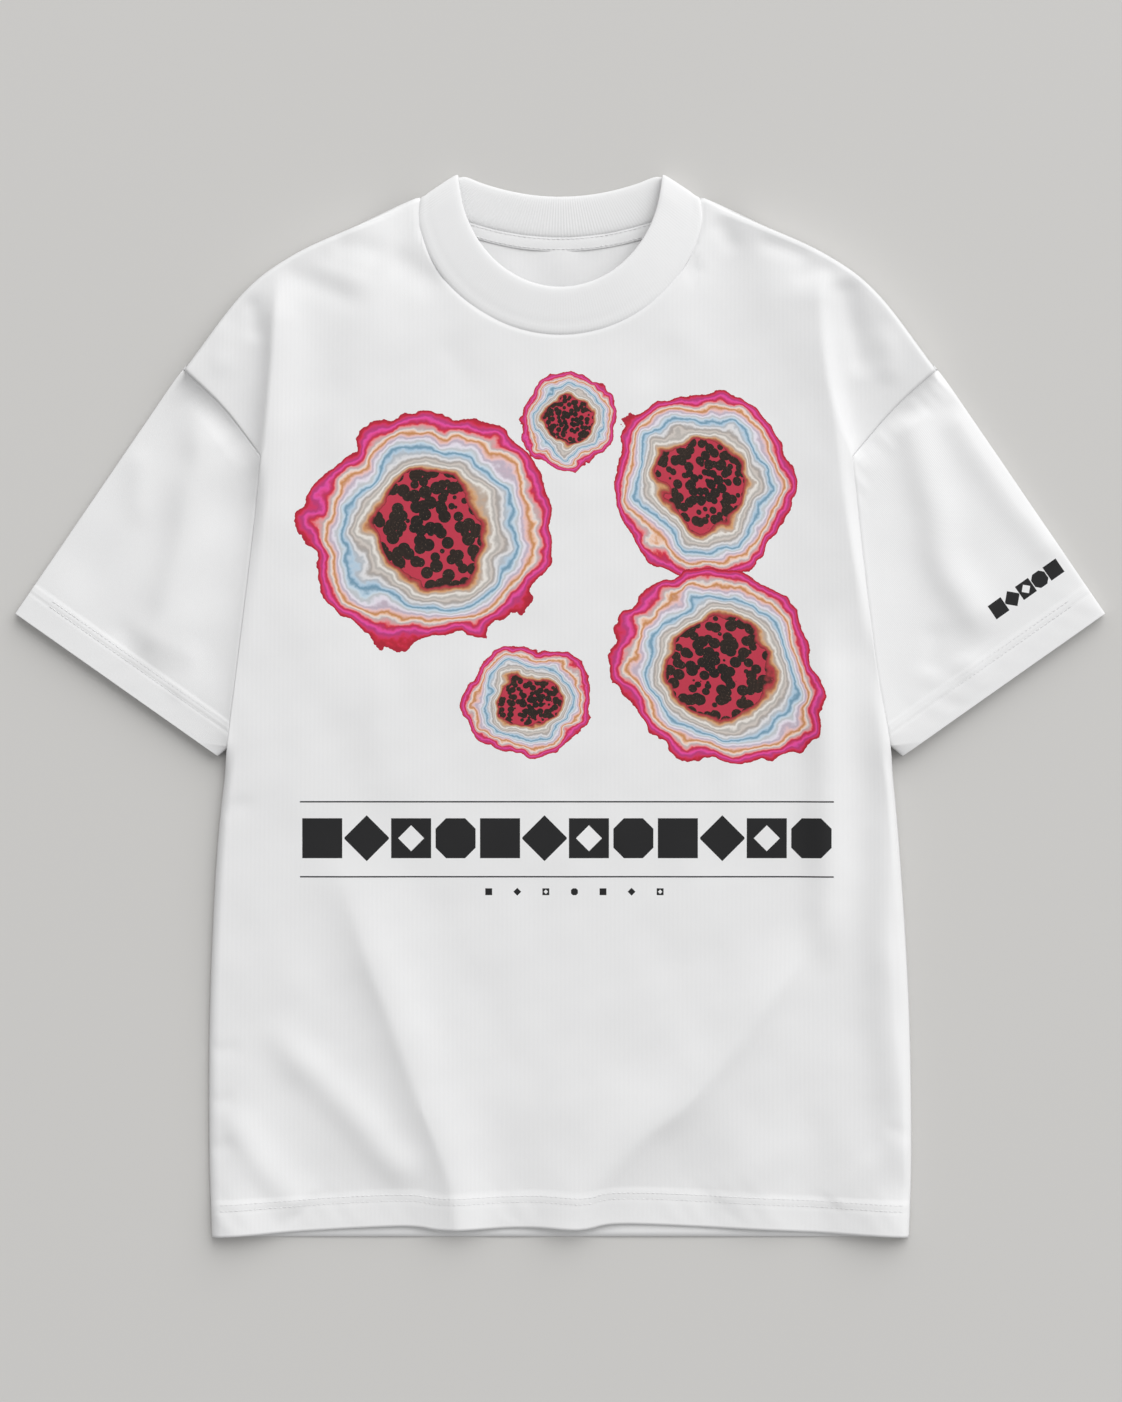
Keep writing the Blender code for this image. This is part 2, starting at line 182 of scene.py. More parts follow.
# Creases of the front, in millimetres: path, height, width to the left and right of it, and the shares of
# its length over which it fades in and out. A crease is sharp on the left of its path.
bodyCreases = [
    ([(-70, -385), (-76, -341), (-86, -310), (-98, -280), (-109, -249), (-120, -218), (-132, -187), (-142, -157),
      (-152, -125), (-160, -92)], 5.8, 14, 26, 0.01, 0.40),
    ([(200, -132), (182, -160), (163, -186), (145, -209), (126, -236), (108, -258), (86, -282), (62, -300), (42, -320),
      (22, -345), (2, -385)], 7.4, 15, 24, 0.35, 0.01),
    ([(214, 30), (211, 74), (203, 109), (197, 145), (193, 179), (189, 214), (184, 240), (181, 263), (180, 284),
      (182, 310)], 4.7, 30, 9, 0.25, 0.10),
    ([(-215, 100), (-207.5, 176), (-205, 200), (-203, 221), (-201, 242), (-200, 263), (-198, 285), (-197, 308)],
     7.2, 6, 20, 0.50, 0.20),
]

# Rounder folds, noted in the same way with their paths going up the garment
bodyFolds = [
    ([(-100, -342), (-112, -326), (-127, -310), (-138, -295), (-152, -280), (-167, -264), (-182, -249), (-194, -233),
      (-206, -214)], 3.1, 13, 14, 0.15, 0.30),
    ([(-180, -356), (-193, -341), (-206, -326), (-216, -311), (-226, -295), (-238, -270)], 2.4, 11, 14, 0.10, 0.30),
    ([(187, -190), (187, -150), (187, -100), (186, -49), (184, 0), (186, 40), (190, 76)], 4.4, 14, 15, 0.20, 0.25),
    ([(240, -345), (239, -300), (236, -260), (232, -225), (230, -195), (228, -160), (230, -110), (232, -60), (228, -10),
      (222, 40)], 4.2, 15, 9, 0.10, 0.20),
    ([(-190, 120), (-170, 200), (-168, 262)], -0.8, 14, 16, 0.35, 0.35),
    ([(-213, 252), (-213, 268), (-216, 288)], -1.5, 6, 6, 0.30, 0.25),
    ([(-194, 304), (-166, 292), (-128, 275)], -1.0, 7, 8, 0.15, 0.40),
    ([(-180, 311), (-147, 299), (-122, 291)], 0.8, 5, 7, 0.30, 0.40),
    ([(-162, 321), (-140, 321), (-116, 312)], -1.5, 8, 9, 0.25, 0.35),
    ([(-124, 316), (-104, 307), (-80, 288)], -2.0, 9, 12, 0.25, 0.35),
    ([(110, 343), (117, 328), (127, 314)], -1.5, 7, 7, 0.25, 0.40),
    ([(134, 326), (156, 320), (180, 311)], -1.8, 5, 7, 0.30, 0.30),
    ([(84, 300), (92, 305), (100, 312)], -0.9, 8, 8, 0.35, 0.35),
    ([(158, 296), (178, 304), (196, 305)], -0.9, 6, 6, 0.35, 0.25),
    ([(210, 226), (208, 250), (202, 276), (198, 300)], -2.6, 8, 9, 0.25, 0.15),
    ([(226, 222), (230, 242), (222, 270)], 1.5, 8, 9, 0.30, 0.40),
    ([(-236, 226), (-238, 250), (-230, 274)], 1.2, 8, 9, 0.35, 0.35),
    ([(-238, -74), (-226, -69), (-208, -69)], -0.6, 5, 7, 0.10, 0.50),
    ([(-130, -50), (-127, 0), (-123, 45)], 0.9, 10, 16, 0.35, 0.40),
    ([(224, -296), (236, -297), (247, -303)], -0.5, 5, 6, 0.35, 0.10),
    ([(-247, -238), (-236, -241), (-220, -236)], -0.6, 5, 7, 0.10, 0.45),
    ([(-247, -275), (-238, -277), (-226, -272)], -0.5, 5, 6, 0.10, 0.45),
    ([(-247, -308), (-238, -309), (-226, -302)], -0.6, 5, 6, 0.10, 0.45),
    ([(108, -350), (140, -322), (176, -290)], 1.0, 14, 13, 0.10, 0.40),
    ([(190, -350), (208, -328), (228, -306)], 1.0, 9, 10, 0.10, 0.40),
    ([(60, 215), (66, 235), (84, 262)], -0.5, 9, 9, 0.35, 0.35),
    ([(-60, 214), (-70, 236), (-88, 262)], -0.5, 9, 9, 0.35, 0.35),
]

leftSleeveFolds = [
    ([(-296, 22), (-286, 42), (-277, 60), (-273, 76), (-269, 91), (-265, 106), (-262, 122), (-260, 137), (-257, 152),
      (-252, 168), (-251, 183), (-252, 199), (-256, 222)], 5.0, 14, 22, 0.15, 0.20),
    ([(-284, 30), (-300, 45), (-318, 62)], -1.0, 9, 9, 0.25, 0.35),
    ([(-298, 120), (-295, 150), (-296, 185)], 1.0, 9, 9, 0.35, 0.25),
    ([(-342, 72), (-322, 120), (-300, 168)], -0.7, 12, 12, 0.30, 0.35),
    ([(-276, 4), (-262, 22), (-256, 50)], 1.2, 10, 9, 0.25, 0.35),
]

rightSleeveFolds = [
    ([(300, 44), (291, 60), (282, 76), (272, 91), (266, 106), (264, 122), (262, 137), (257, 152), (253, 168),
      (249, 183), (243, 199), (240, 208)], 4.2, 13, 15, 0.15, 0.08),
    ([(350, 96), (333, 122), (320, 137), (309, 152), (298, 168), (288, 183), (278, 199), (271, 211)],
     2.4, 12, 8, 0.15, 0.12),
    ([(296, 8), (288, 24), (282, 40)], 1.6, 11, 11, 0.20, 0.35),
    ([(258, 20), (262, 40), (262, 62)], -1.2, 9, 9, 0.25, 0.35),
]

skin = {"shirt": (0.834, 0.834, 0.836), "shade": (0.818, 0.819, 0.823), "floor": (0.611, 0.603, 0.588)}

light = {
    "azimuth": 60.0,
    "elevation": 38.0,
    "distance": 13.0,
    "size": 16.4,
    "power": 1310.0,
    "fill": 0.535,
    "skyLean": (0.34, 0.55, 0.20),
}


def smoothCurve(points, steps=8):
    # A Catmull-Rom curve through the points
    known = np.array(points, float)
    ends = np.vstack([2 * known[0] - known[1], known, 2 * known[-1] - known[-2]])
    found = []
    for i in range(len(known) - 1):
        before, start, end, after = ends[i : i + 4]
        for t in np.linspace(0.0, 1.0, steps, endpoint=False):
            curved = 2 * start + (end - before) * t
            curved = curved + (2 * before - 5 * start + 4 * end - after) * t**2
            curved = curved + (3 * start - before - 3 * end + after) * t**3
            found.append(0.5 * curved)
    found.append(known[-1])
    return np.array(found)


def ease(value, low, high):
    t = np.clip((value - low) / (high - low), 0.0, 1.0)
    return t * t * (3.0 - 2.0 * t)


def rounded(distance, radius):
    # The rise of a rolled edge, from 0 at the edge to 1 one radius in
    t = 1.0 - np.clip(distance / radius, 0.0, 1.0)
    return np.sqrt(np.maximum(0.0, 1.0 - t * t))


def nearest(path, x, y):
    # Distance to a path, side of it (1 is right of its direction) and share of its length, for arrays
    path = np.asarray(path, float)
    lengths = np.concatenate([[0.0], np.cumsum(np.linalg.norm(np.diff(path, axis=0), axis=1))])
    best = np.full(x.shape, 9.0)
    side = np.ones(x.shape)
    along = np.zeros(x.shape)
    for i in range(len(path) - 1):
        step = path[i + 1] - path[i]
        dx = x - path[i, 0]
        dy = y - path[i, 1]
        t = np.clip((dx * step[0] + dy * step[1]) / (step @ step), 0.0, 1.0)
        gap = np.hypot(dx - step[0] * t, dy - step[1] * t)
        closer = gap < best
        best = np.where(closer, gap, best)
        side = np.where(closer, np.where(dx * step[1] - dy * step[0] > 0.0, 1.0, -1.0), side)
        along = np.where(closer, lengths[i] + t * (lengths[i + 1] - lengths[i]), along)
    return best, side, along / lengths[-1]


def foldField(x, y, folds, sharpness=2.0):
    # Ridges and valleys along their paths, each with its own width on either side
    total = np.zeros(x.shape)
    for path, height, left, right, fadeIn, fadeOut in folds:
        curve = smoothCurve(np.array(path, float) / 1000.0, 5)
        gap, side, along = nearest(curve, x, y)
        width = np.where(side > 0.0, right, left) / 1000.0
        power = np.where(side > 0.0, 2.0, sharpness)
        fade = ease(along, 0.0, fadeIn) * (1.0 - ease(along, 1.0 - fadeOut, 1.0))
        total += height / 1000.0 * np.exp(-((gap / width) ** power)) * fade
    return total


def softNoise(x, y, wavelength, seed, count=12):
    # Smooth, repeatable unevenness from a few sine waves in all directions, about -1 to 1
    chance = np.random.default_rng(seed)
    total = np.zeros(np.broadcast(x, y).shape)
    for _ in range(count):
        turn = chance.uniform(0.0, 2.0 * math.pi)
        number = 2.0 * math.pi / (wavelength * chance.uniform(0.7, 1.5))
        phase = chance.uniform(0.0, 2.0 * math.pi)
        total += np.sin((x * math.cos(turn) + y * math.sin(turn)) * number + phase)
    return total / math.sqrt(count)


def halfWidth(rows, y, x):
    # Half width of an outline at each place up the garment, on the side that x is on
    curve = smoothCurve(rows)
    left = np.interp(y, curve[:, 0], curve[:, 1])
    right = np.interp(y, curve[:, 0], curve[:, 2])
    return np.where(x < 0.0, left, right)


shoulderCurve = smoothCurve(outline["shoulder"])
hemCurve = smoothCurve(outline["frontHemRise"])
bodyCurve = smoothCurve(outline["bodyEdge"])
armholeCurve = smoothCurve(outline["armhole"])
corner = outline["armhole"][0][0]


def armholeLine(side):
    # The seam between front and sleeve, from the corner over the underarm up to the shoulder
    return np.column_stack([side * armholeCurve[:, 1 if side < 0 else 2], armholeCurve[:, 0]])


def towardsShoulder(x, y):
    # 0 on the chest, rising to 1 at the shoulder's fold
    gap = nearest(shoulderCurve, np.abs(x), y)[0]
    return (1.0 - np.clip(gap / body["shoulderSlope"], 0.0, 1.0)) ** body["shoulderCurl"]


def shoulderY(x):
    return np.interp(np.abs(x), shoulderCurve[:, 0], shoulderCurve[:, 1])


def frontHemY(x):
    return outline["backHem"] + np.interp(x, hemCurve[:, 0], hemCurve[:, 1])


def neckY(x, grow=0.0):
    half = collar["seamHalf"] + grow
    return collar["seamTop"] - (collar["frontDrop"] + grow) * np.sqrt(np.maximum(0.0, 1.0 - (x / half) ** 2))


def fromNeckSeam(x, y):
    # Distance outwards from the neck's seam, good close to it
    u = x / collar["seamHalf"]
    v = (collar["seamTop"] - y) / collar["frontDrop"]
    reach = np.maximum(0.1, np.hypot(u, v))
    return (reach - 1.0) * reach / np.maximum(0.1, np.hypot(u / collar["seamHalf"], v / collar["frontDrop"]))


def backNeckY(x):
    return collar["seamTop"] - collar["backDrop"] * (1.0 - (x / collar["seamHalf"]) ** 2)


def bandRelief(distance, along, seed):
    # A hem turned up and sewn: two layers below the stitching, a groove at each needle, slanted puckers
    relief = hem["raised"] * (1.0 - ease(distance, hem["band"], hem["band"] + 0.0016))
    for needle in hem["needles"]:
        relief -= hem["groove"] * np.exp(-(((distance - needle) / 0.0011) ** 2))
    slant = along + 0.55 * distance
    puckers = softNoise(slant, slant * 0.0, 0.017, seed) * (0.5 + 0.5 * softNoise(along, along * 0.0, 0.11, seed + 1))
    inBand = ease(distance, 0.001, 0.008) * (1.0 - ease(distance, 0.015, 0.022))
    above = ease(distance, 0.023, 0.026) * (1.0 - ease(distance, 0.028, 0.044))
    return relief + 0.00030 * puckers * (inBand + 0.55 * above)


def frontHeight(x, y):
    # Height of the upper face of the front
    hemShape = smoothCurve(body["hemHeights"])
    atHem = np.interp(x, hemShape[:, 0], hemShape[:, 1])
    fromHem = y - frontHemY(x)
    height = body["lowHeight"] + (body["chestHeight"] - body["lowHeight"]) * ease(y, *body["lowersOver"])
    height += (atHem - body["lowHeight"]) * (1.0 - ease(fromHem, 0.0, body["hemReaches"]))
    beyond = np.abs(x) - halfWidth(outline["crease"], y, x)
    width = np.where(x < 0.0, *body["creaseWidth"])
    inCap = np.where(y > corner, 1.0 - ease(y, *body["creaseFades"]), 0.0)
    fallen = 1.0 - np.exp(-np.maximum(0.0, beyond) / width)
    height -= (body["chestHeight"] - body["capHeight"]) * fallen * inCap
    toLeft = nearest(bodyCurve[:, [1, 0]] * [-1, 1], x, y)[0]
    toRight = nearest(bodyCurve[:, [2, 0]], x, y)[0]
    toSide = np.minimum(toLeft, toRight)
    belowSleeve = ease(y, -0.350, -0.280) * (1.0 - ease(y, -0.090, -0.020))
    towardsSide = (1.0 - np.clip(toSide / body["sideSlope"], 0.0, 1.0)) ** 2
    overSide = np.maximum(0.0, height - np.where(x < 0.0, *body["sideHeight"]))
    height -= overSide * towardsSide * belowSleeve
    fromShoulder = nearest(shoulderCurve, np.abs(x), y)[0]
    neckShare = 1.0 - ease(np.abs(x), *body["neckRimFades"])
    edgeHeight = body["shoulderEdge"] + (body["rimAtNeck"] - body["shoulderEdge"]) * neckShare
    height -= (height - edgeHeight) * towardsShoulder(x, y)
    height += foldField(x, y, bodyFolds) + foldField(x, y, bodyCreases, 1.2)
    height += 0.00032 * softNoise(x, y, 0.085, 3) + 0.00012 * softNoise(x, y, 0.034, 4)
    overBack = height - body["restsAt"]
    height = body["restsAt"] + 0.5 * (overBack + np.sqrt(overBack**2 + 0.0008**2))
    rim = body["rimAtNeck"] + (body["rim"] - body["rimAtNeck"]) * ease(np.abs(x), *body["neckRimFades"])
    height = rim + (height - rim) * rounded(fromShoulder, body["shoulderRoll"])
    overSleeve = ease(y, *body["overSleeveFrom"])
    rim = body["rim"] + (np.where(x < 0.0, *body["rimOverSleeve"]) - body["rim"]) * overSleeve
    roll = body["sideRoll"] + (body["rollOverSleeve"] - body["sideRoll"]) * overSleeve
    rolls = 1.0 - ease(y, corner - body["rollFades"], corner)
    gentle = 1.0 - (1.0 - np.clip(toSide / roll, 0.0, 1.0)) ** 2
    profile = rounded(toSide, roll) + (gentle - rounded(toSide, roll)) * overSleeve
    height -= (height - rim) * (1.0 - profile) * rolls
    dip, dipWidth = body["seamDip"]
    toSeam = np.minimum(*(nearest(armholeLine(side), x, y)[0] for side in (-1, 1)))
    height -= dip * (1.0 - ease(toSeam, 0.0, dipWidth)) * (y > corner)
    height += bandRelief(fromHem, x, 21)
    height -= 0.0015 * (1.0 - ease(fromNeckSeam(x, y), -0.0005, body["tucksUnderRib"]))
    return np.maximum(height, body["lowest"])


def finishSheet(name, made, uvPlaces, thickness, solid, material, capped=False):
    # Turns a moved grid into a piece: its own UV map in metres, outward faces, the cloth's thickness
    layer = made.loops.layers.uv.new("flat")
    for face in made.faces:
        for corner in face.loops:
            corner[layer].uv = uvPlaces[corner.vert.index]
    bmesh.ops.remove_doubles(made, verts=made.verts[:], dist=1e-6)
    bmesh.ops.holes_fill(made, edges=made.edges[:] if capped else [], sides=0)
    if solid:
        bmesh.ops.recalc_face_normals(made, faces=made.faces[:])
    elif sum(face.normal.z for face in made.faces) < 0.0:
        bmesh.ops.reverse_faces(made, faces=made.faces[:])
    mesh = bpy.data.meshes.new(name)
    made.to_mesh(mesh)
    made.free()
    piece = bpy.data.objects.new(name, mesh)
    bpy.context.scene.collection.objects.link(piece)
    mesh.shade_smooth()
    if thickness:
        wall = piece.modifiers.new("clothThickness", "SOLIDIFY")
        wall.thickness = thickness
        wall.offset = -1.0
    piece.data.materials.append(material)
    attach(piece, "root")
    return piece


def movedGrid(columns, rows, place):
    # A grid whose points a formula moves. It gets shares from 0 to 1 and gives points and UV places.
    made = bmesh.new()
    bmesh.ops.create_grid(made, x_segments=columns, y_segments=rows, size=1.0)
    made.verts.ensure_lookup_table()
    flat = np.array([vert.co[:2] for vert in made.verts])
    points, uvPlaces = place((flat[:, 0] + 1.0) / 2.0, (flat[:, 1] + 1.0) / 2.0)
    for vert, point in zip(made.verts, points):
        vert.co = point
    made.normal_update()
    return made, [tuple(uv) for uv in uvPlaces]


def frontPlaces(across, up):
    # The grid's columns run from hem to shoulder or neck, and its outer ones follow the body's edge
    tipY, tipHalf = outline["armhole"][-1][:2]
    corner = (collar["seamHalf"] - 0.0015) / tipHalf
    count = body["neckColumns"] + 2 * body["outerColumns"]
    column = np.abs(across * 2.0 - 1.0) * count / 2.0
    inNeck = column <= body["neckColumns"] / 2.0
    neckShare = corner * np.sin(np.clip(column / (body["neckColumns"] / 2.0), 0.0, 1.0) * math.pi / 2.0)
    outer = np.clip((column - body["neckColumns"] / 2.0) / body["outerColumns"], 0.0, 1.0)
    outer = 0.6 * outer + 0.4 * np.sin(outer * math.pi / 2.0)
    share = np.where(inNeck, neckShare, corner + (1.0 - corner) * outer) * np.sign(across - 0.5)
    up = up - 0.30 * np.sin(2.0 * math.pi * up) / (2.0 * math.pi)
    level = outline["backHem"] + (tipY - outline["backHem"]) * up
    edge = np.vstack([bodyCurve, armholeCurve[1:]])
    edgeHalf = np.where(
        share < 0.0, np.interp(level, edge[:, 0], edge[:, 1]), np.interp(level, edge[:, 0], edge[:, 2])
    )
    x = share * (tipHalf - (tipHalf - edgeHalf) * share**2)
    topX = share * tipHalf
    underRib = -0.0016
    top = np.where(np.abs(topX) <= corner * tipHalf + 1e-9, neckY(topX, underRib), shoulderY(topX))
    y = level + (top - tipY) * up**5 + (frontHemY(x) - outline["backHem"]) * (1.0 - up) ** 4
    z = frontHeight(x, y)
    return np.column_stack([x, y, z]), np.column_stack([x, y])


def backPlaces(across, up):
    tipY, tipHalf = outline["armhole"][-1][:2]
    share = np.sin((across * 2.0 - 1.0) * math.pi / 2.0) * 0.35 + (across * 2.0 - 1.0) * 0.65
    level = outline["backHem"] + (tipY - outline["backHem"]) * up
    below = bodyCurve[bodyCurve[:, 0] < sleeve["cuffBottom"][1] - 0.008]
    edge = np.vstack([below, smoothCurve(outline["hiddenArmhole"]), armholeCurve[1:]])
    edgeHalf = np.where(
        share < 0.0, np.interp(level, edge[:, 0], edge[:, 1]), np.interp(level, edge[:, 0], edge[:, 2])
    )
    edgeHalf = edgeHalf - cloth["backInset"]
    topHalf = tipHalf - cloth["backInset"]
    x = share * (topHalf - (topHalf - edgeHalf) * share**2)
    topX = share * topHalf
    atNeck = np.abs(topX) < collar["seamHalf"]
    top = np.where(atNeck, backNeckY(topX) - 0.0006, shoulderY(topX) - 0.0016)
    y = level + (top - tipY) * up**5
    inside = np.clip(1.0 - np.abs(x) / 0.09, 0.0, 1.0) * ease(y, 0.22, 0.27)
    z = cloth["jersey"] + 0.0011 * inside * (0.5 + 0.5 * softNoise(x, y, 0.045, 8))
    return np.column_stack([x, y, z]), np.column_stack([x, y])


def lerp(start, end, share):
    return start + (end - start) * share[:, None]


def sleeveArmhole(side, share):
    # Points of the sleeve's inner end, from the shoulder at share 0 to the underarm at 1
    rows = np.vstack([smoothCurve(outline["hiddenArmhole"]), armholeCurve[1:]])
    path = rows[::-1][:, [1 if side < 0 else 2, 0]]
    path[-1] = sleeve["underarm"]
    lengths = np.concatenate([[0.0], np.cumsum(np.linalg.norm(np.diff(path, axis=0), axis=1))])
    at = share * lengths[-1]
    x = np.interp(at, lengths, path[:, 0]) + sleeve["seamGap"]
    y = np.interp(at, lengths, path[:, 1]) - sleeve["seamGap"] / 2.0
    return np.column_stack([side * x, y])


def sleevePlace(side, along, across):
    # A Coons patch between the armhole, the cuff and the sleeve's two folds
    cuffTop = np.array([side * sleeve["cuffTop"][0], sleeve["cuffTop"][1]])
    cuffBottom = np.array([side * sleeve["cuffBottom"][0], sleeve["cuffBottom"][1]])
    ends = sleeveArmhole(side, np.array([0.0, 1.0]))
    cuff = lerp(cuffTop, cuffBottom, across)
    ruled = lerp(sleeveArmhole(side, across), cuff, along)
    upperFold = lerp(ends[0], cuffTop, along)
    lowerFold = lerp(ends[1], cuffBottom, along)
    straight = lerp(lerp(ends[0], ends[1], across), cuff, along)
    return ruled + lerp(upperFold, lowerFold, across) - straight


def sleeveHeight(side, x, y, along, folds, seed):
    # Upper face of the sleeve. It carries on the slope beside the body's edge and the cap's crease, meets
    # the front at its edge and goes down below it.
    number = 0 if side < 0 else 1
    below = bodyCurve[bodyCurve[:, 0] > sleeve["meetsFrom"]][:-1]
    bodyLine = np.column_stack([side * below[:, 1 + number], below[:, 0]])
    creaseCurve = smoothCurve(outline["crease"])
    ridge = np.vstack([bodyLine, np.column_stack([side * creaseCurve[:, 1 + number], creaseCurve[:, 0]])])
    edge = np.vstack([bodyLine, armholeLine(side)])

    def levelAt(line, share):
        lengths = np.concatenate([[0.0], np.cumsum(np.linalg.norm(np.diff(line, axis=0), axis=1))])
        return np.interp(share, lengths / lengths[-1], frontHeight(line[:, 0], line[:, 1]))

    def carried(x, y, own):
        beyond, _, share = nearest(ridge, x, y)
        return own + (levelAt(ridge, share) - own) * np.exp(-beyond / sleeve["carriesOver"][number])

    gap, turned, share = nearest(edge, x, y)
    outside = gap * turned * side
    atArmhole, atCuff = sleeve["height"][number]
    own = atArmhole + (atCuff - atArmhole) * np.clip(along, 0.0, 1.0) ** 2
    level = levelAt(edge, share) - sleeve["meetsBelow"]
    edgeShares = np.linspace(0.0, 1.0, 120)
    lengths = np.concatenate([[0.0], np.cumsum(np.linalg.norm(np.diff(edge, axis=0), axis=1))])
    edgeX, edgeY = (np.interp(edgeShares, lengths / lengths[-1], edge[:, k]) for k in (0, 1))
    atEdge = np.interp(share, edgeShares, carried(edgeX, edgeY, atArmhole))
    height = carried(x, y, own) + (level - atEdge) * np.exp(-gap / sleeve["seamRise"])
    pressed = np.where(outside < 0.0, ease(gap, 0.0, sleeve["tucksOver"]), 0.0)
    height = np.where(outside < 0.0, level, height)
    height -= (height - sleeve["tucked"]) * pressed
    relief = foldField(x, y, folds) + 0.0003 * softNoise(x, y, 0.06, seed)
    relief *= ease(gap, 0.0, sleeve["foldsFadeOver"])
    cuffTop = np.array([side * sleeve["cuffTop"][0], sleeve["cuffTop"][1]])
    cuffBottom = np.array([side * sleeve["cuffBottom"][0], sleeve["cuffBottom"][1]])
    fromCuff, _, alongCuff = nearest([cuffBottom, cuffTop], x, y)
    relief *= ease(fromCuff, 0.002, 0.030) * 0.75 + 0.25
    relief += bandRelief(fromCuff, alongCuff * 0.1736, seed + 5)
    nearSeam = ease(along, -0.004, 0.014)
    puckers = softNoise(y * 0.7 + x * 0.7 * side, y * 0.0, 0.009, seed + 9)
    relief += 0.00028 * puckers * nearSeam * (1.0 - ease(along, 0.05, 0.12))
    height += relief * (1.0 - pressed)
    return height - sleeve["edgeDrop"] * (1.0 - ease(outside, -0.0008, 0.0006))


def sleevePlaces(side, folds, seed):
    def place(around, lengthwise):
        lengthwise = lengthwise - sleeve["finerEnds"] * np.sin(2.0 * math.pi * lengthwise) / (2.0 * math.pi)
        along = sleeve["startsUnder"] + (1.0 - sleeve["startsUnder"]) * lengthwise
        turn = 2.0 * math.pi * around
        across = 0.5 - 0.5 * np.cos(turn)
        flat = (1.0 - np.abs(np.cos(turn)) ** sleeve["squareness"]) ** (1.0 / sleeve["squareness"])
        xy = sleevePlace(side, along, across)
        half = sleeveHeight(side, xy[:, 0], xy[:, 1], along, folds, seed) / 2.0
        z = half + np.where(around <= 0.5, 1.0, -1.0) * half * flat
        z = np.maximum(z, sleeve["overBack"] * (1.0 - ease(along, 0.02, 0.10)))
        uvPlaces = np.column_stack([across * 0.19 * np.where(around <= 0.5, 1.0, -1.0), along * 0.19])
        return np.column_stack([xy, z]), uvPlaces

    return place


def ribGuides():
    # Pairs of seam edge and free edge round the neck: the front from left to right, a round turn at
    # the shoulder, the back from right to left, and a turn again
    front = []
    for angle in np.linspace(-math.pi / 2, math.pi / 2, 21)[1:-1]:
        seam = (collar["seamHalf"] * math.sin(angle), collar["seamTop"] - collar["frontDrop"] * math.cos(angle))
        free = (collar["freeHalf"] * math.sin(angle), collar["freeTop"] - collar["freeFrontDrop"] * math.cos(angle))
        level = float(ribLevel(np.array([seam[0]]), np.array([seam[1]]))[0])
        front.append((*seam, level, *free, level + collar["freeLift"]))
    behind = []
    for share in np.linspace(0.93, -0.93, 13):
        x = collar["seamHalf"] * share
        freeY = collar["freeTop"] - collar["freeBackDrop"] * (1.0 - share * share)
        lift = collar["backHeight"] + collar["backLift"]
        behind.append((x, float(backNeckY(x)), collar["backHeight"], collar["freeHalf"] * share, freeY, lift))
    half = (body["rimAtNeck"] - collar["backHeight"]) / 2.0
    middle = collar["backHeight"] + half
    turns = {}
    for side in (1, -1):
        turns[side] = []
        for angle in np.radians((50.0, 0.0, -50.0)):
            out = half * 0.5 * math.cos(angle)
            pushX, pushY = side * collar["foldNormal"][0] * out, collar["foldNormal"][1] * out
            pushZ = half * math.sin(angle)
            seamX = side * (collar["seamHalf"] - collar["foldInset"]) + pushX
            seamY = collar["seamTop"] - collar["foldInset"] + pushY
            freeY = collar["freeTop"] - collar["foldInset"] + pushY
            freeX = side * collar["freeHalf"] + pushX
            turns[side].append((seamX, seamY, middle + pushZ, freeX, freeY, middle + pushZ))
    return np.array(front + turns[1] + behind + turns[-1][::-1])


def ribLevel(x, y):
    # Height of the band's middle at its seam, on the front
    return body["chestHeight"] - 0.0010 - (body["chestHeight"] - body["rimAtNeck"]) * towardsShoulder(x, y)


def closedCurve(points, steps):
    # A closed Catmull-Rom curve
    looped = np.vstack([points[-1:], points, points[:2]])
    found = []
    for i in range(len(points)):
        before, start, end, after = looped[i : i + 4]
        for t in np.linspace(0.0, 1.0, steps, endpoint=False):
            curved = 2 * start + (end - before) * t
            curved = curved + (2 * before - 5 * start + 4 * end - after) * t**2
            curved = curved + (3 * start - before - 3 * end + after) * t**3
            found.append(0.5 * curved)
    return np.array(found)


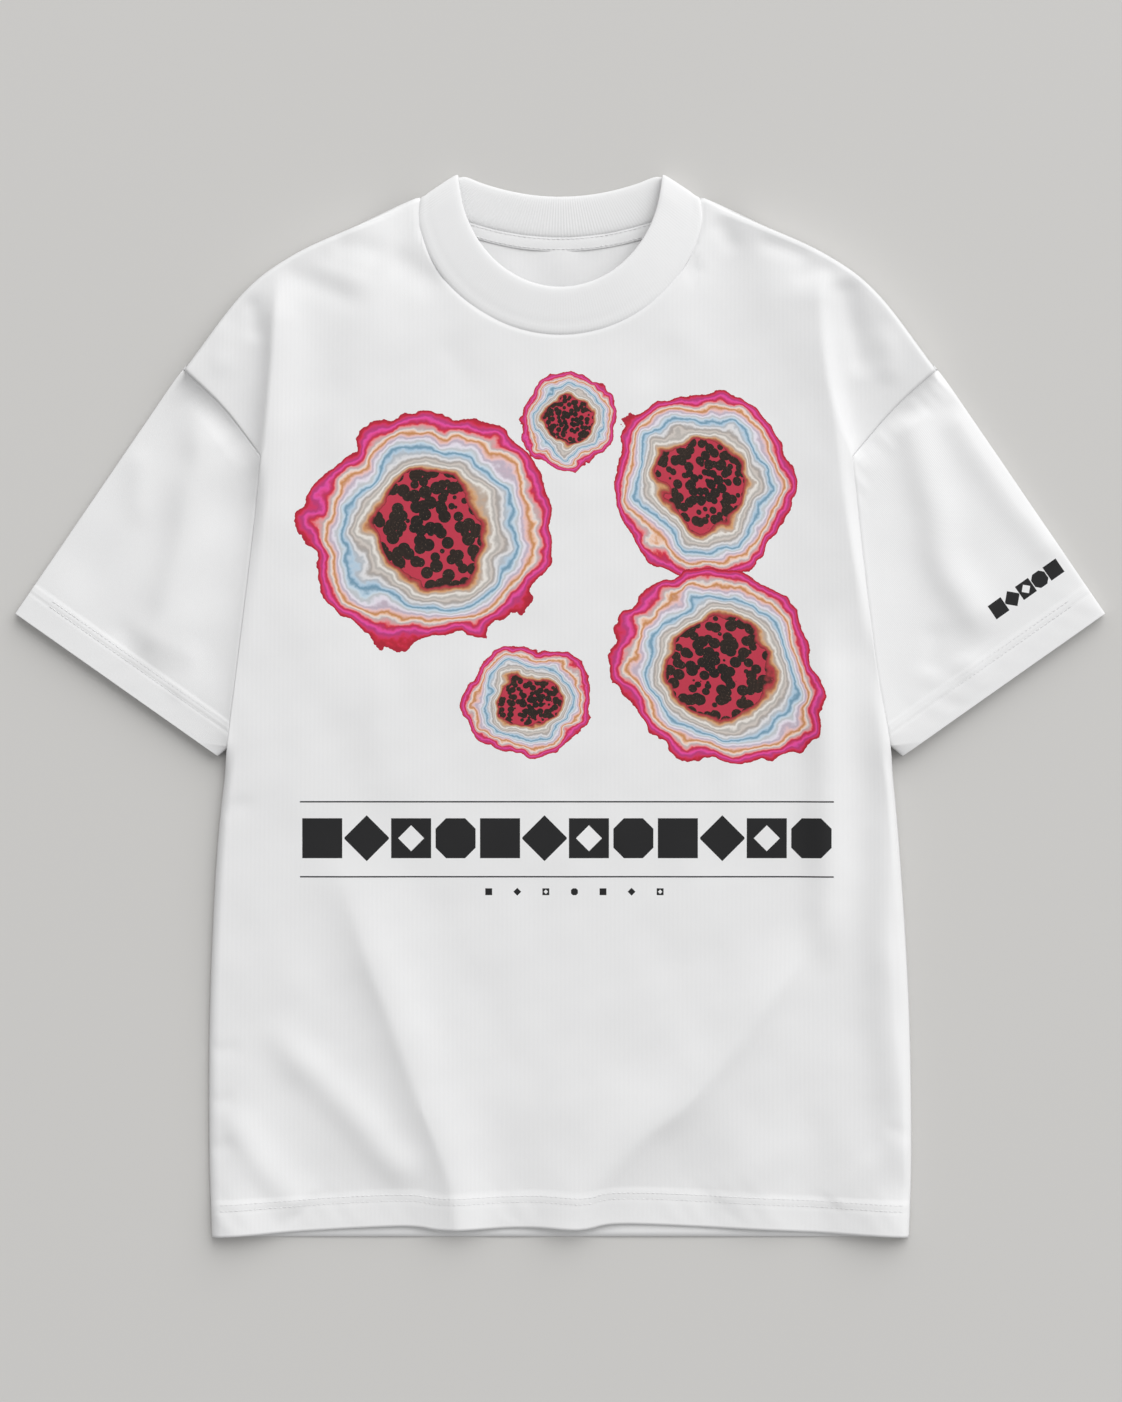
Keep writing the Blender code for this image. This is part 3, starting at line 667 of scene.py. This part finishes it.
def ribPlaces(along, around):
    # Sweeps a flat oval round the neck and presses the ribs into it
    guides = closedCurve(ribGuides(), 24)
    guides = np.vstack([guides, guides[:1]])
    middle = (guides[:, :3] + guides[:, 3:]) / 2.0
    lengths = np.concatenate([[0.0], np.cumsum(np.linalg.norm(np.diff(middle, axis=0), axis=1))])
    at = along * lengths[-1]
    path = np.column_stack([np.interp(at, lengths, guides[:, k]) for k in range(6)])
    ahead = np.column_stack([np.interp((at + 0.001) % lengths[-1], lengths, middle[:, k]) for k in range(3)])
    behind = np.column_stack([np.interp((at - 0.001) % lengths[-1], lengths, middle[:, k]) for k in range(3)])
    seam, free = path[:, :3], path[:, 3:]
    across = free - seam
    width = np.linalg.norm(across, axis=1)
    across /= width[:, None]
    onward = ahead - behind
    normal = np.cross(across, onward)
    normal /= np.linalg.norm(normal, axis=1)[:, None]
    turn = 2.0 * math.pi * around
    spread = -np.cos(turn)
    oval = np.sign(np.sin(turn)) * (1.0 - np.abs(spread) ** 5) ** 0.5
    reach = width / 2.0 + 0.0012
    count = round(lengths[-1] / collar["ribPitch"])
    shown = 0.35 + 0.85 * np.clip(softNoise(at, at * 0.0, 0.11, 31), 0.0, 1.0)
    ribs = np.cos(2.0 * math.pi * along * count) * shown
    inner = 1.0 - np.abs(spread) ** 10
    depth = oval * cloth["rib"] / 2.0 + np.sign(oval) * collar["ribDepth"] * ribs * inner
    seamRidge = 0.0004 * np.exp(-(((spread + 0.86) / 0.07) ** 2)) - 0.0005 * np.exp(-(((spread + 0.70) / 0.06) ** 2))
    freeRidge = 0.00012 * np.exp(-(((spread - 0.9) / 0.08) ** 2))
    depth += np.where(oval > 0.0, seamRidge + freeRidge, 0.0)
    centre = (seam + free) / 2.0 + across * (-0.0006 + spread * reach)[:, None]
    return centre - normal * depth[:, None], np.column_stack([at, spread * width / 2.0])


print("helpers ready")


def calc(tree, operation, first, second=None, third=None):
    node = tree.nodes.new("ShaderNodeMath")
    node.operation = operation
    for socket, value in zip(node.inputs, (first, second, third)):
        if value is None:
            continue
        if isinstance(value, (int, float)):
            socket.default_value = value
        else:
            tree.links.new(value, socket)
    return node.outputs[0]


def mixColour(tree, factor, first, second, blend="MIX"):
    node = tree.nodes.new("ShaderNodeMix")
    node.data_type = "RGBA"
    node.blend_type = blend
    for index, value in ((0, factor), (6, first), (7, second)):
        if isinstance(value, (int, float)):
            node.inputs[index].default_value = value
        elif isinstance(value, tuple):
            node.inputs[index].default_value = (*value, 1.0)
        else:
            tree.links.new(value, node.inputs[index])
    return node.outputs[2]


def noise(tree, vector, scale, detail=2.0, roughness=0.5):
    node = tree.nodes.new("ShaderNodeTexNoise")
    node.inputs["Scale"].default_value = scale
    node.inputs["Detail"].default_value = detail
    node.inputs["Roughness"].default_value = roughness
    tree.links.new(vector, node.inputs["Vector"])
    return node.outputs["Fac"]


def makeGroup(name, inputs, outputs):
    group = bpy.data.node_groups.new(name, "ShaderNodeTree")
    for label, kind, value in inputs:
        socket = group.interface.new_socket(name=label, in_out="INPUT", socket_type=kind)
        if value is not None:
            socket.default_value = value
    for label, kind in outputs:
        group.interface.new_socket(name=label, in_out="OUTPUT", socket_type=kind)
    return group, group.nodes.new("NodeGroupInput").outputs, group.nodes.new("NodeGroupOutput").inputs


def useGroup(tree, group, **values):
    node = tree.nodes.new("ShaderNodeGroup")
    node.node_tree = group
    for label, value in values.items():
        if isinstance(value, (int, float)):
            node.inputs[label].default_value = value
        else:
            tree.links.new(value, node.inputs[label])
    return node.outputs


def split(tree, vector):
    node = tree.nodes.new("ShaderNodeSeparateXYZ")
    tree.links.new(vector, node.inputs[0])
    return node.outputs


def knitGroup():
    # Jersey: columns of small slanted stitches. Place is in metres.
    group, given, result = makeGroup(
        "jerseyKnit",
        [("Place", "NodeSocketVector", None), ("Wale", "NodeSocketFloat", 0.0009), ("Course", "NodeSocketFloat", 0.0007)],
        [("Height", "NodeSocketFloat"), ("Mottle", "NodeSocketFloat")],
    )
    place = split(group, given["Place"])
    column = calc(group, "FRACT", calc(group, "DIVIDE", place[0], given["Wale"]))
    lean = calc(group, "ABSOLUTE", calc(group, "SUBTRACT", column, 0.5))
    row = calc(group, "ADD", calc(group, "DIVIDE", place[1], given["Course"]), lean)
    legs = calc(group, "SINE", calc(group, "MULTIPLY", row, 2.0 * math.pi))
    ridge = calc(group, "SINE", calc(group, "MULTIPLY", column, math.pi))
    height = calc(group, "MULTIPLY", ridge, calc(group, "MULTIPLY_ADD", legs, 0.25, 0.75))
    fibres = noise(group, given["Place"], 2600.0, 3.0, 0.6)
    height = calc(group, "MULTIPLY_ADD", fibres, 0.5, height)
    slubs = noise(group, given["Place"], 55.0, 4.0, 0.62)
    group.links.new(height, result["Height"])
    group.links.new(slubs, result["Mottle"])
    return group


def sliceGroup():
    # A cut and polished agate: a dark speckled core inside wavering coloured rings
    names = ("Centre X", "Centre Y", "Radius", "Stretch", "Turn", "Seed")
    group, given, result = makeGroup(
        "agateSlice",
        [("Place", "NodeSocketVector", None)] + [(name, "NodeSocketFloat", 1.0) for name in names],
        [("Colour", "NodeSocketColor"), ("Mask", "NodeSocketFloat")],
    )
    place = split(group, given["Place"])
    dx = calc(group, "SUBTRACT", place[0], given["Centre X"])
    dy = calc(group, "SUBTRACT", place[1], given["Centre Y"])
    cosine = calc(group, "COSINE", given["Turn"])
    sine = calc(group, "SINE", given["Turn"])
    u = calc(group, "ADD", calc(group, "MULTIPLY", dx, cosine), calc(group, "MULTIPLY", dy, sine))
    v = calc(group, "SUBTRACT", calc(group, "MULTIPLY", dy, cosine), calc(group, "MULTIPLY", dx, sine))
    u = calc(group, "DIVIDE", u, given["Radius"])
    v = calc(group, "DIVIDE", calc(group, "MULTIPLY", v, given["Stretch"]), given["Radius"])
    joined = group.nodes.new("ShaderNodeCombineXYZ")
    for socket, value in zip(joined.inputs, (u, v, given["Seed"])):
        group.links.new(value, socket)
    q = joined.outputs[0]
    r = calc(group, "SQRT", calc(group, "ADD", calc(group, "MULTIPLY", u, u), calc(group, "MULTIPLY", v, v)))
    r = calc(group, "ADD", r, calc(group, "MULTIPLY_ADD", noise(group, q, 1.5, 2.0, 0.5), 0.62, -0.31))
    r = calc(group, "ADD", r, calc(group, "MULTIPLY_ADD", noise(group, q, 6.5, 3.0, 0.55), 0.11, -0.055))
    ramp = group.nodes.new("ShaderNodeValToRGB")
    bands = [
        (0.00, (0.012, 0.008, 0.006)),
        (0.46, (0.030, 0.016, 0.010)),
        (0.48, (0.520, 0.040, 0.060)),
        (0.51, (0.620, 0.320, 0.140)),
        (0.55, (0.820, 0.780, 0.730)),
        (0.61, (0.560, 0.500, 0.460)),
        (0.65, (0.800, 0.810, 0.840)),
        (0.70, (0.240, 0.460, 0.640)),
        (0.74, (0.780, 0.830, 0.870)),
        (0.79, (0.780, 0.640, 0.760)),
        (0.83, (0.850, 0.360, 0.110)),
        (0.86, (0.860, 0.800, 0.780)),
        (0.90, (0.760, 0.030, 0.060)),
        (0.94, (0.800, 0.080, 0.380)),
        (0.98, (0.600, 0.020, 0.050)),
    ]
    elements = ramp.color_ramp.elements
    for at, colour in bands[1:-1]:
        elements.new(at).color = (*colour, 1.0)
    elements[0].position, elements[-1].position = bands[0][0], bands[-1][0]
    elements[0].color, elements[-1].color = (*bands[0][1], 1.0), (*bands[-1][1], 1.0)
    group.links.new(r, ramp.inputs[0])
    lines = calc(group, "SINE", calc(group, "MULTIPLY", r, 150.0))
    lines = calc(group, "MULTIPLY_ADD", lines, 0.16, 0.84)
    banded = mixColour(group, 1.0, ramp.outputs[0], lines, "MULTIPLY")
    crystals = group.nodes.new("ShaderNodeTexVoronoi")
    crystals.inputs["Scale"].default_value = 11.0
    group.links.new(q, crystals.inputs["Vector"])
    glints = calc(group, "GREATER_THAN", noise(group, q, 70.0, 2.0, 0.6), 0.66)
    cracks = calc(group, "GREATER_THAN", crystals.outputs["Distance"], 0.60)
    inCore = calc(group, "LESS_THAN", r, 0.465)
    spots = calc(group, "MULTIPLY", inCore, calc(group, "MULTIPLY", glints, 0.6))
    lined = mixColour(group, spots, banded, (0.24, 0.15, 0.10))
    veins = calc(group, "MULTIPLY", inCore, calc(group, "MULTIPLY", cracks, 0.85))
    group.links.new(mixColour(group, veins, lined, (0.60, 0.04, 0.08)), result["Colour"])
    group.links.new(calc(group, "LESS_THAN", r, 1.0), result["Mask"])
    return group


def tilesGroup():
    # A row of plain tiles, one to a cell: square, diamond, square with a diamond cut out, octagon
    names = ("Left", "Middle", "Pitch", "Count", "Half Height")
    group, given, result = makeGroup(
        "tileRow",
        [("Place", "NodeSocketVector", None)] + [(name, "NodeSocketFloat", 1.0) for name in names],
        [("Mask", "NodeSocketFloat")],
    )
    place = split(group, given["Place"])
    run = calc(group, "DIVIDE", calc(group, "SUBTRACT", place[0], given["Left"]), given["Pitch"])
    inRow = calc(group, "MULTIPLY", calc(group, "GREATER_THAN", run, 0.0), calc(group, "LESS_THAN", run, given["Count"]))
    acrossCell = calc(group, "SUBTRACT", calc(group, "FRACT", run), 0.5)
    u = calc(group, "DIVIDE", calc(group, "MULTIPLY", acrossCell, given["Pitch"]), given["Half Height"])
    v = calc(group, "DIVIDE", calc(group, "SUBTRACT", place[1], given["Middle"]), given["Half Height"])
    farU = calc(group, "ABSOLUTE", u)
    farV = calc(group, "ABSOLUTE", v)
    reach = calc(group, "MAXIMUM", farU, farV)
    slant = calc(group, "ADD", farU, farV)
    square = calc(group, "LESS_THAN", reach, 0.80)
    diamond = calc(group, "LESS_THAN", slant, 0.92)
    window = calc(group, "MULTIPLY", square, calc(group, "GREATER_THAN", slant, 0.52))
    octagon = calc(group, "MULTIPLY", square, calc(group, "LESS_THAN", slant, 1.18))
    kind = calc(group, "MODULO", calc(group, "FLOOR", run), 4.0)
    total = 0.0
    for number, shape in enumerate((square, diamond, window, octagon)):
        here = calc(group, "COMPARE", kind, float(number), 0.2)
        total = calc(group, "MULTIPLY_ADD", here, shape, total)
    group.links.new(calc(group, "MULTIPLY", total, inRow), result["Mask"])
    return group


jerseyKnit = knitGroup()
agateSlice = sliceGroup()
tileRow = tilesGroup()

printed = {
    "slices": [
        (-0.092, 0.122, 0.084, 1.00, 0.4, 1.3),
        (0.102, 0.156, 0.068, 1.15, 2.2, 4.1),
        (0.108, 0.026, 0.070, 0.90, 1.1, 7.7),
        (-0.022, 0.004, 0.043, 1.10, 0.2, 9.2),
        (0.006, 0.200, 0.033, 0.95, 2.8, 12.6),
    ],
    "row": (-0.182, -0.0925, 0.0311, 12.0, 0.0175),
    "rules": [(-0.0670, 0.0005), (-0.1195, 0.0005)],
    "dots": (-0.0600, -0.1300, 0.0200, 7.0, 0.0030),
    "sleeveRow": (0.000, 0.000, 0.0118, 5.0, 0.0070),
}


def newCloth(name):
    material = bpy.data.materials.new(name)
    material.use_nodes = True
    tree = material.node_tree
    shader = tree.nodes["Principled BSDF"]
    shader.inputs["Roughness"].default_value = 0.9
    shader.inputs["Specular IOR Level"].default_value = 0.25
    shader.inputs["Sheen Weight"].default_value = 0.12
    shader.inputs["Sheen Roughness"].default_value = 0.5
    coordinates = tree.nodes.new("ShaderNodeTexCoord")
    return material, tree, shader, coordinates


def clothColour(tree, mottle, coordinates):
    # White cotton, a little uneven over the whole piece
    wide = noise(tree, coordinates.outputs["Object"], 7.0, 3.0, 0.5)
    uneven = calc(tree, "MULTIPLY_ADD", mottle, 0.55, calc(tree, "MULTIPLY", wide, 0.45))
    contrast = tree.nodes.new("ShaderNodeMapRange")
    contrast.inputs["From Min"].default_value = 0.32
    contrast.inputs["From Max"].default_value = 0.68
    tree.links.new(uneven, contrast.inputs["Value"])
    return mixColour(tree, contrast.outputs[0], skin["shade"], skin["shirt"])


def bumpFrom(tree, height, distance, strength=1.0, before=None):
    bump = tree.nodes.new("ShaderNodeBump")
    bump.inputs["Strength"].default_value = strength
    bump.inputs["Distance"].default_value = distance
    tree.links.new(height, bump.inputs["Height"])
    if before is not None:
        tree.links.new(before, bump.inputs["Normal"])
    return bump.outputs[0]


def jerseyCloth(name, pattern=None):
    material, tree, shader, coordinates = newCloth(name)
    knit = useGroup(tree, jerseyKnit, Place=coordinates.outputs["UV"])
    colour = clothColour(tree, knit["Mottle"], coordinates)
    rough = calc(tree, "MULTIPLY_ADD", knit["Mottle"], 0.10, 0.84)
    height = knit["Height"]
    if pattern:
        ink, colour = pattern(tree, coordinates, colour)
        rough = calc(tree, "SUBTRACT", rough, calc(tree, "MULTIPLY", ink, 0.28))
        height = calc(tree, "MULTIPLY", height, calc(tree, "MULTIPLY_ADD", ink, -0.45, 1.0))
        height = calc(tree, "MULTIPLY_ADD", ink, 0.5, height)
    tree.links.new(colour, shader.inputs["Base Color"])
    tree.links.new(rough, shader.inputs["Roughness"])
    tree.links.new(bumpFrom(tree, height, 0.00006), shader.inputs["Normal"])
    return material


def chestPrint(tree, coordinates, colour):
    # Banded stones over a row of plain shapes, printed on the cloth
    place = coordinates.outputs["Object"]
    ink = 0.0
    for x, y, radius, stretch, turn, seed in printed["slices"]:
        values = {"Centre X": x, "Centre Y": y, "Radius": radius, "Stretch": stretch, "Turn": turn, "Seed": seed}
        stone = useGroup(tree, agateSlice, Place=place, **values)
        colour = mixColour(tree, stone["Mask"], colour, stone["Colour"])
        ink = calc(tree, "MAXIMUM", stone["Mask"], ink)
    axes = split(tree, place)
    black = 0.0
    for key in ("row", "dots"):
        left, middle, pitch, count, half = printed[key]
        values = {"Left": left, "Middle": middle, "Pitch": pitch, "Count": count, "Half Height": half}
        black = calc(tree, "MAXIMUM", useGroup(tree, tileRow, Place=place, **values)["Mask"], black)
    within = calc(tree, "LESS_THAN", calc(tree, "ABSOLUTE", calc(tree, "SUBTRACT", axes[0], 0.0046)), 0.1866)
    for height, half in printed["rules"]:
        near = calc(tree, "LESS_THAN", calc(tree, "ABSOLUTE", calc(tree, "SUBTRACT", axes[1], height)), half)
        black = calc(tree, "MAXIMUM", black, calc(tree, "MULTIPLY", near, within))
    colour = mixColour(tree, black, colour, (0.012, 0.012, 0.013))
    return calc(tree, "MAXIMUM", ink, black), colour


def sleevePrint(tree, coordinates, colour):
    # A short row of shapes that runs along the cuff
    turned = tree.nodes.new("ShaderNodeMapping")
    turned.vector_type = "TEXTURE"
    turned.inputs["Location"].default_value = (0.3020, 0.0650, 0.0)
    turned.inputs["Rotation"].default_value = (0.0, 0.0, math.atan2(0.0998, 0.1420))
    tree.links.new(coordinates.outputs["Object"], turned.inputs["Vector"])
    left, middle, pitch, count, half = printed["sleeveRow"]
    values = {"Left": left, "Middle": middle, "Pitch": pitch, "Count": count, "Half Height": half}
    black = useGroup(tree, tileRow, Place=turned.outputs[0], **values)["Mask"]
    colour = mixColour(tree, black, colour, (0.012, 0.012, 0.013))
    return black, colour


def plainCloth(name, roughness, distance, wale, course):
    # Rib and tape: the same knit effect at their own scales
    material, tree, shader, coordinates = newCloth(name)
    knit = useGroup(tree, jerseyKnit, Place=coordinates.outputs["UV"], Wale=wale, Course=course)
    tree.links.new(clothColour(tree, knit["Mottle"], coordinates), shader.inputs["Base Color"])
    rough = calc(tree, "MULTIPLY_ADD", knit["Mottle"], 0.08, roughness - 0.04)
    tree.links.new(rough, shader.inputs["Roughness"])
    tree.links.new(bumpFrom(tree, knit["Height"], distance), shader.inputs["Normal"])
    return material


def threadCloth():
    # Sewing thread: fine twisted plies, slightly lustrous; its colour has painted shade in the grooves between the
    # plies and painted highlight on their crests
    material, tree, shader, coordinates = newCloth("whiteThread")
    axes = split(tree, coordinates.outputs["Object"])
    twist = calc(tree, "MULTIPLY", calc(tree, "ADD", axes[0], calc(tree, "MULTIPLY", axes[1], 2.3)), 9000.0)
    pliesAndPaintedShade = calc(tree, "SINE", twist)
    # Painted shade and highlight: the thread's colour darkens in the plies' grooves and lightens on their crests,
    # following the bump
    colour = mixColour(tree, calc(tree, "MULTIPLY_ADD", pliesAndPaintedShade, 0.5, 0.5), (0.80, 0.80, 0.81), (0.90, 0.90, 0.90))
    tree.links.new(colour, shader.inputs["Base Color"])
    tree.links.new(calc(tree, "MULTIPLY_ADD", pliesAndPaintedShade, 0.06, 0.55), shader.inputs["Roughness"])
    tree.links.new(bumpFrom(tree, pliesAndPaintedShade, 0.00005), shader.inputs["Normal"])
    return material


frontJersey = jerseyCloth("frontJersey", chestPrint)
backJersey = jerseyCloth("backJersey")
leftJersey = jerseyCloth("leftSleeveJersey")
rightJersey = jerseyCloth("rightSleeveJersey", sleevePrint)
ribKnit = plainCloth("ribKnit", 0.90, 0.00008, 0.0019, 0.0008)
tapeTwill = plainCloth("tapeTwill", 0.86, 0.00007, 0.0007, 0.0007)
whiteThread = threadCloth()
print("materials ready")

made, uvPlaces = movedGrid(body["neckColumns"] + 2 * body["outerColumns"], body["rows"], frontPlaces)
frontPanel = finishSheet("frontPanel", made, uvPlaces, cloth["jersey"], False, frontJersey)
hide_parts("front_panel")
print("front panel made")

made, uvPlaces = movedGrid(110, 150, backPlaces)
backPanel = finishSheet("backPanel", made, uvPlaces, cloth["jersey"], False, backJersey)
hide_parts("back_panel")
print("back panel made")

sleeves = {}
for name, side, folds, material in (
    ("leftSleeve", -1, leftSleeveFolds, leftJersey),
    ("rightSleeve", 1, rightSleeveFolds, rightJersey),
):
    made, uvPlaces = movedGrid(sleeve["around"], sleeve["along"], sleevePlaces(side, folds, 40 + side))
    sleeves[side] = finishSheet(name, made, uvPlaces, cloth["jersey"], True, material)
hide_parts("left_sleeve")
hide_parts("right_sleeve")
print("sleeves made")

made, uvPlaces = movedGrid(collar["stations"], collar["around"], ribPlaces)
neckRib = finishSheet("neckRib", made, uvPlaces, 0.0, True, ribKnit)
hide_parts("neck_rib")
print("collar made")


def tapePlaces(along, around):
    # A flat oval ribbon along the back neck seam
    x = (along * 2.0 - 1.0) * tape["reach"]
    turn = 2.0 * math.pi * around
    middle = backNeckY(x) - 0.0012 - tape["width"] / 2.0
    spread = -np.cos(turn)
    oval = np.sign(np.sin(turn)) * (1.0 - np.abs(spread) ** 4) ** 0.5
    y = middle + spread * tape["width"] / 2.0
    puff = cloth["tape"] * (0.62 + 0.10 * softNoise(x, x * 0.0, 0.02, 6))
    z = cloth["jersey"] + tape["liesAbove"] + oval * puff
    for needle in tape["needles"]:
        z = z - np.where(oval > 0.0, 0.0002 * np.exp(-(((y - middle - tape["width"] / 2 + needle) / 0.0008) ** 2)), 0.0)
    return np.column_stack([x, y, z]), np.column_stack([x, spread * tape["width"] / 2.0])


made, uvPlaces = movedGrid(240, 18, tapePlaces)
neckTape = finishSheet("neckTape", made, uvPlaces, 0.0, True, tapeTwill, capped=True)
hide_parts("neck_tape")
print("neck tape made")


def stitchRow(name, route, heights, node):
    # A row of short stitches along a route, each dipping into the cloth at both ends
    made = bmesh.new()
    route = np.column_stack([route, heights(route[:, 0], route[:, 1])])
    lengths = np.concatenate([[0.0], np.cumsum(np.linalg.norm(np.diff(route[:, :2], axis=0), axis=1))])
    for at in np.arange(stitch["pitch"] / 2.0, lengths[-1], stitch["pitch"]):
        behind, middle, ahead = (
            Vector([float(np.interp(at + step, lengths, route[:, k])) for k in range(3)]) for step in (-0.001, 0.0, 0.001)
        )
        middle.z += stitch["radius"] * 0.25
        formed = bmesh.ops.create_uvsphere(made, u_segments=6, v_segments=5, radius=stitch["radius"])["verts"]
        bmesh.ops.scale(made, verts=formed, vec=(1.0, 1.0, stitch["length"] / 2.0 / stitch["radius"]))
        bmesh.ops.rotate(made, verts=formed, matrix=(ahead - behind).to_track_quat("Z", "Y").to_matrix())
        bmesh.ops.translate(made, verts=formed, vec=middle)
    mesh = bpy.data.meshes.new(name)
    made.to_mesh(mesh)
    made.free()
    row = bpy.data.objects.new(name, mesh)
    bpy.context.scene.collection.objects.link(row)
    mesh.shade_smooth()
    row.data.materials.append(whiteThread)
    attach(row, "root")
    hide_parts(node)
    return row


for number, needle in enumerate(hem["needles"], start=1):
    xs = np.linspace(-0.2445 + stitch["sideMargin"], 0.2450 - stitch["sideMargin"], 400)
    route = np.column_stack([xs, frontHemY(xs) + needle])
    stitchRow(f"hemStitches{number}", route, frontHeight, f"hem_stitch_row_{number}")

for name, side, folds in (("left", -1, leftSleeveFolds), ("right", 1, rightSleeveFolds)):
    cuffTop = np.array([side * sleeve["cuffTop"][0], sleeve["cuffTop"][1]])
    cuffBottom = np.array([side * sleeve["cuffBottom"][0], sleeve["cuffBottom"][1]])
    onward = (cuffBottom - cuffTop) / np.linalg.norm(cuffBottom - cuffTop)
    inward = np.array([-onward[1], onward[0]]) if side < 0 else np.array([onward[1], -onward[0]])

    def cuffHeights(x, y, side=side, folds=folds):
        return sleeveHeight(side, x, y, np.full(x.shape, 0.9), folds, 40 + side)

    for number, needle in enumerate(hem["needles"], start=1):
        start = cuffTop + inward * needle
        steps = np.linspace(0.0165, 0.1736 - 0.020, 200)
        route = start + onward * steps[:, None]
        stitchRow(f"{name}CuffStitches{number}", route, cuffHeights, f"{name}_cuff_stitch_row_{number}")


def tapeHeights(x, y):
    return np.full(x.shape, cloth["jersey"] + tape["liesAbove"] + cloth["tape"] * 0.55)


for number, needle in enumerate(tape["needles"], start=1):
    xs = np.linspace(-0.082, 0.082, 200)
    route = np.column_stack([xs, backNeckY(xs) - 0.0012 - needle])
    stitchRow(f"tapeStitches{number}", route, tapeHeights, f"tape_stitch_row_{number}")
print("stitching made")


def describeSheet(piece):
    # Half the surface of a closed sheet, and its lowest point
    shown = piece.evaluated_get(bpy.context.evaluated_depsgraph_get())
    area = sum(face.area for face in shown.data.polygons) / 2.0
    lowest = min(vert.co.z for vert in shown.data.vertices)
    print(piece.name, "area", round(area, 4), "lowest", round(lowest, 5))


bpy.context.view_layer.update()
for piece in (frontPanel, backPanel, sleeves[-1], sleeves[1], neckRib, neckTape):
    describeSheet(piece)

floorMesh = bmesh.new()
bmesh.ops.create_grid(floorMesh, x_segments=1, y_segments=1, size=4.0)
mesh = bpy.data.meshes.new("floor")
floorMesh.to_mesh(mesh)
floorMesh.free()
floor = bpy.data.objects.new("floor", mesh)
bpy.context.scene.collection.objects.link(floor)
material = bpy.data.materials.new("paleFloor")
material.use_nodes = True
shader = material.node_tree.nodes["Principled BSDF"]
shader.inputs["Base Color"].default_value = (*skin["floor"], 1.0)
shader.inputs["Roughness"].default_value = 0.95
shader.inputs["Specular IOR Level"].default_value = 0.1
floor.data.materials.append(material)

world = bpy.data.worlds.new("softFill")
bpy.context.scene.world = world
world.use_nodes = True
world.node_tree.nodes["Background"].inputs["Color"].default_value = (1.0, 1.0, 1.0, 1.0)
sky = world.node_tree
direction = sky.nodes.new("ShaderNodeTexCoord")
lean = sky.nodes.new("ShaderNodeVectorMath")
lean.operation = "DOT_PRODUCT"
lean.inputs[1].default_value = light["skyLean"]
sky.links.new(direction.outputs["Generated"], lean.inputs[0])
brighter = calc(sky, "MULTIPLY_ADD", lean.outputs["Value"], light["fill"], light["fill"])
sky.links.new(brighter, sky.nodes["Background"].inputs["Strength"])

lamp = bpy.data.lights.new("window", "AREA")
lamp.shape = "DISK"
lamp.size = light["size"]
lamp.energy = light["power"]
lampObject = bpy.data.objects.new("window", lamp)
bpy.context.scene.collection.objects.link(lampObject)
azimuth, elevation = math.radians(light["azimuth"]), math.radians(light["elevation"])
towards = Vector((
    math.cos(azimuth) * math.cos(elevation), math.sin(azimuth) * math.cos(elevation), math.sin(elevation)
))
lampObject.location = towards * light["distance"]
lampObject.rotation_euler = towards.to_track_quat("Z", "Y").to_euler()

camera = bpy.data.cameras.new("fromAbove")
camera.lens = 100.0
camera.sensor_width = 36.0
cameraObject = bpy.data.objects.new("fromAbove", camera)
bpy.context.scene.collection.objects.link(cameraObject)
cameraObject.location = (0.0006, 0.0035, 2.726 + 0.010)
bpy.context.scene.camera = cameraObject
bpy.context.scene.view_settings.view_transform = "Standard"
print("camera and light ready")

bpy.context.view_layer.update()
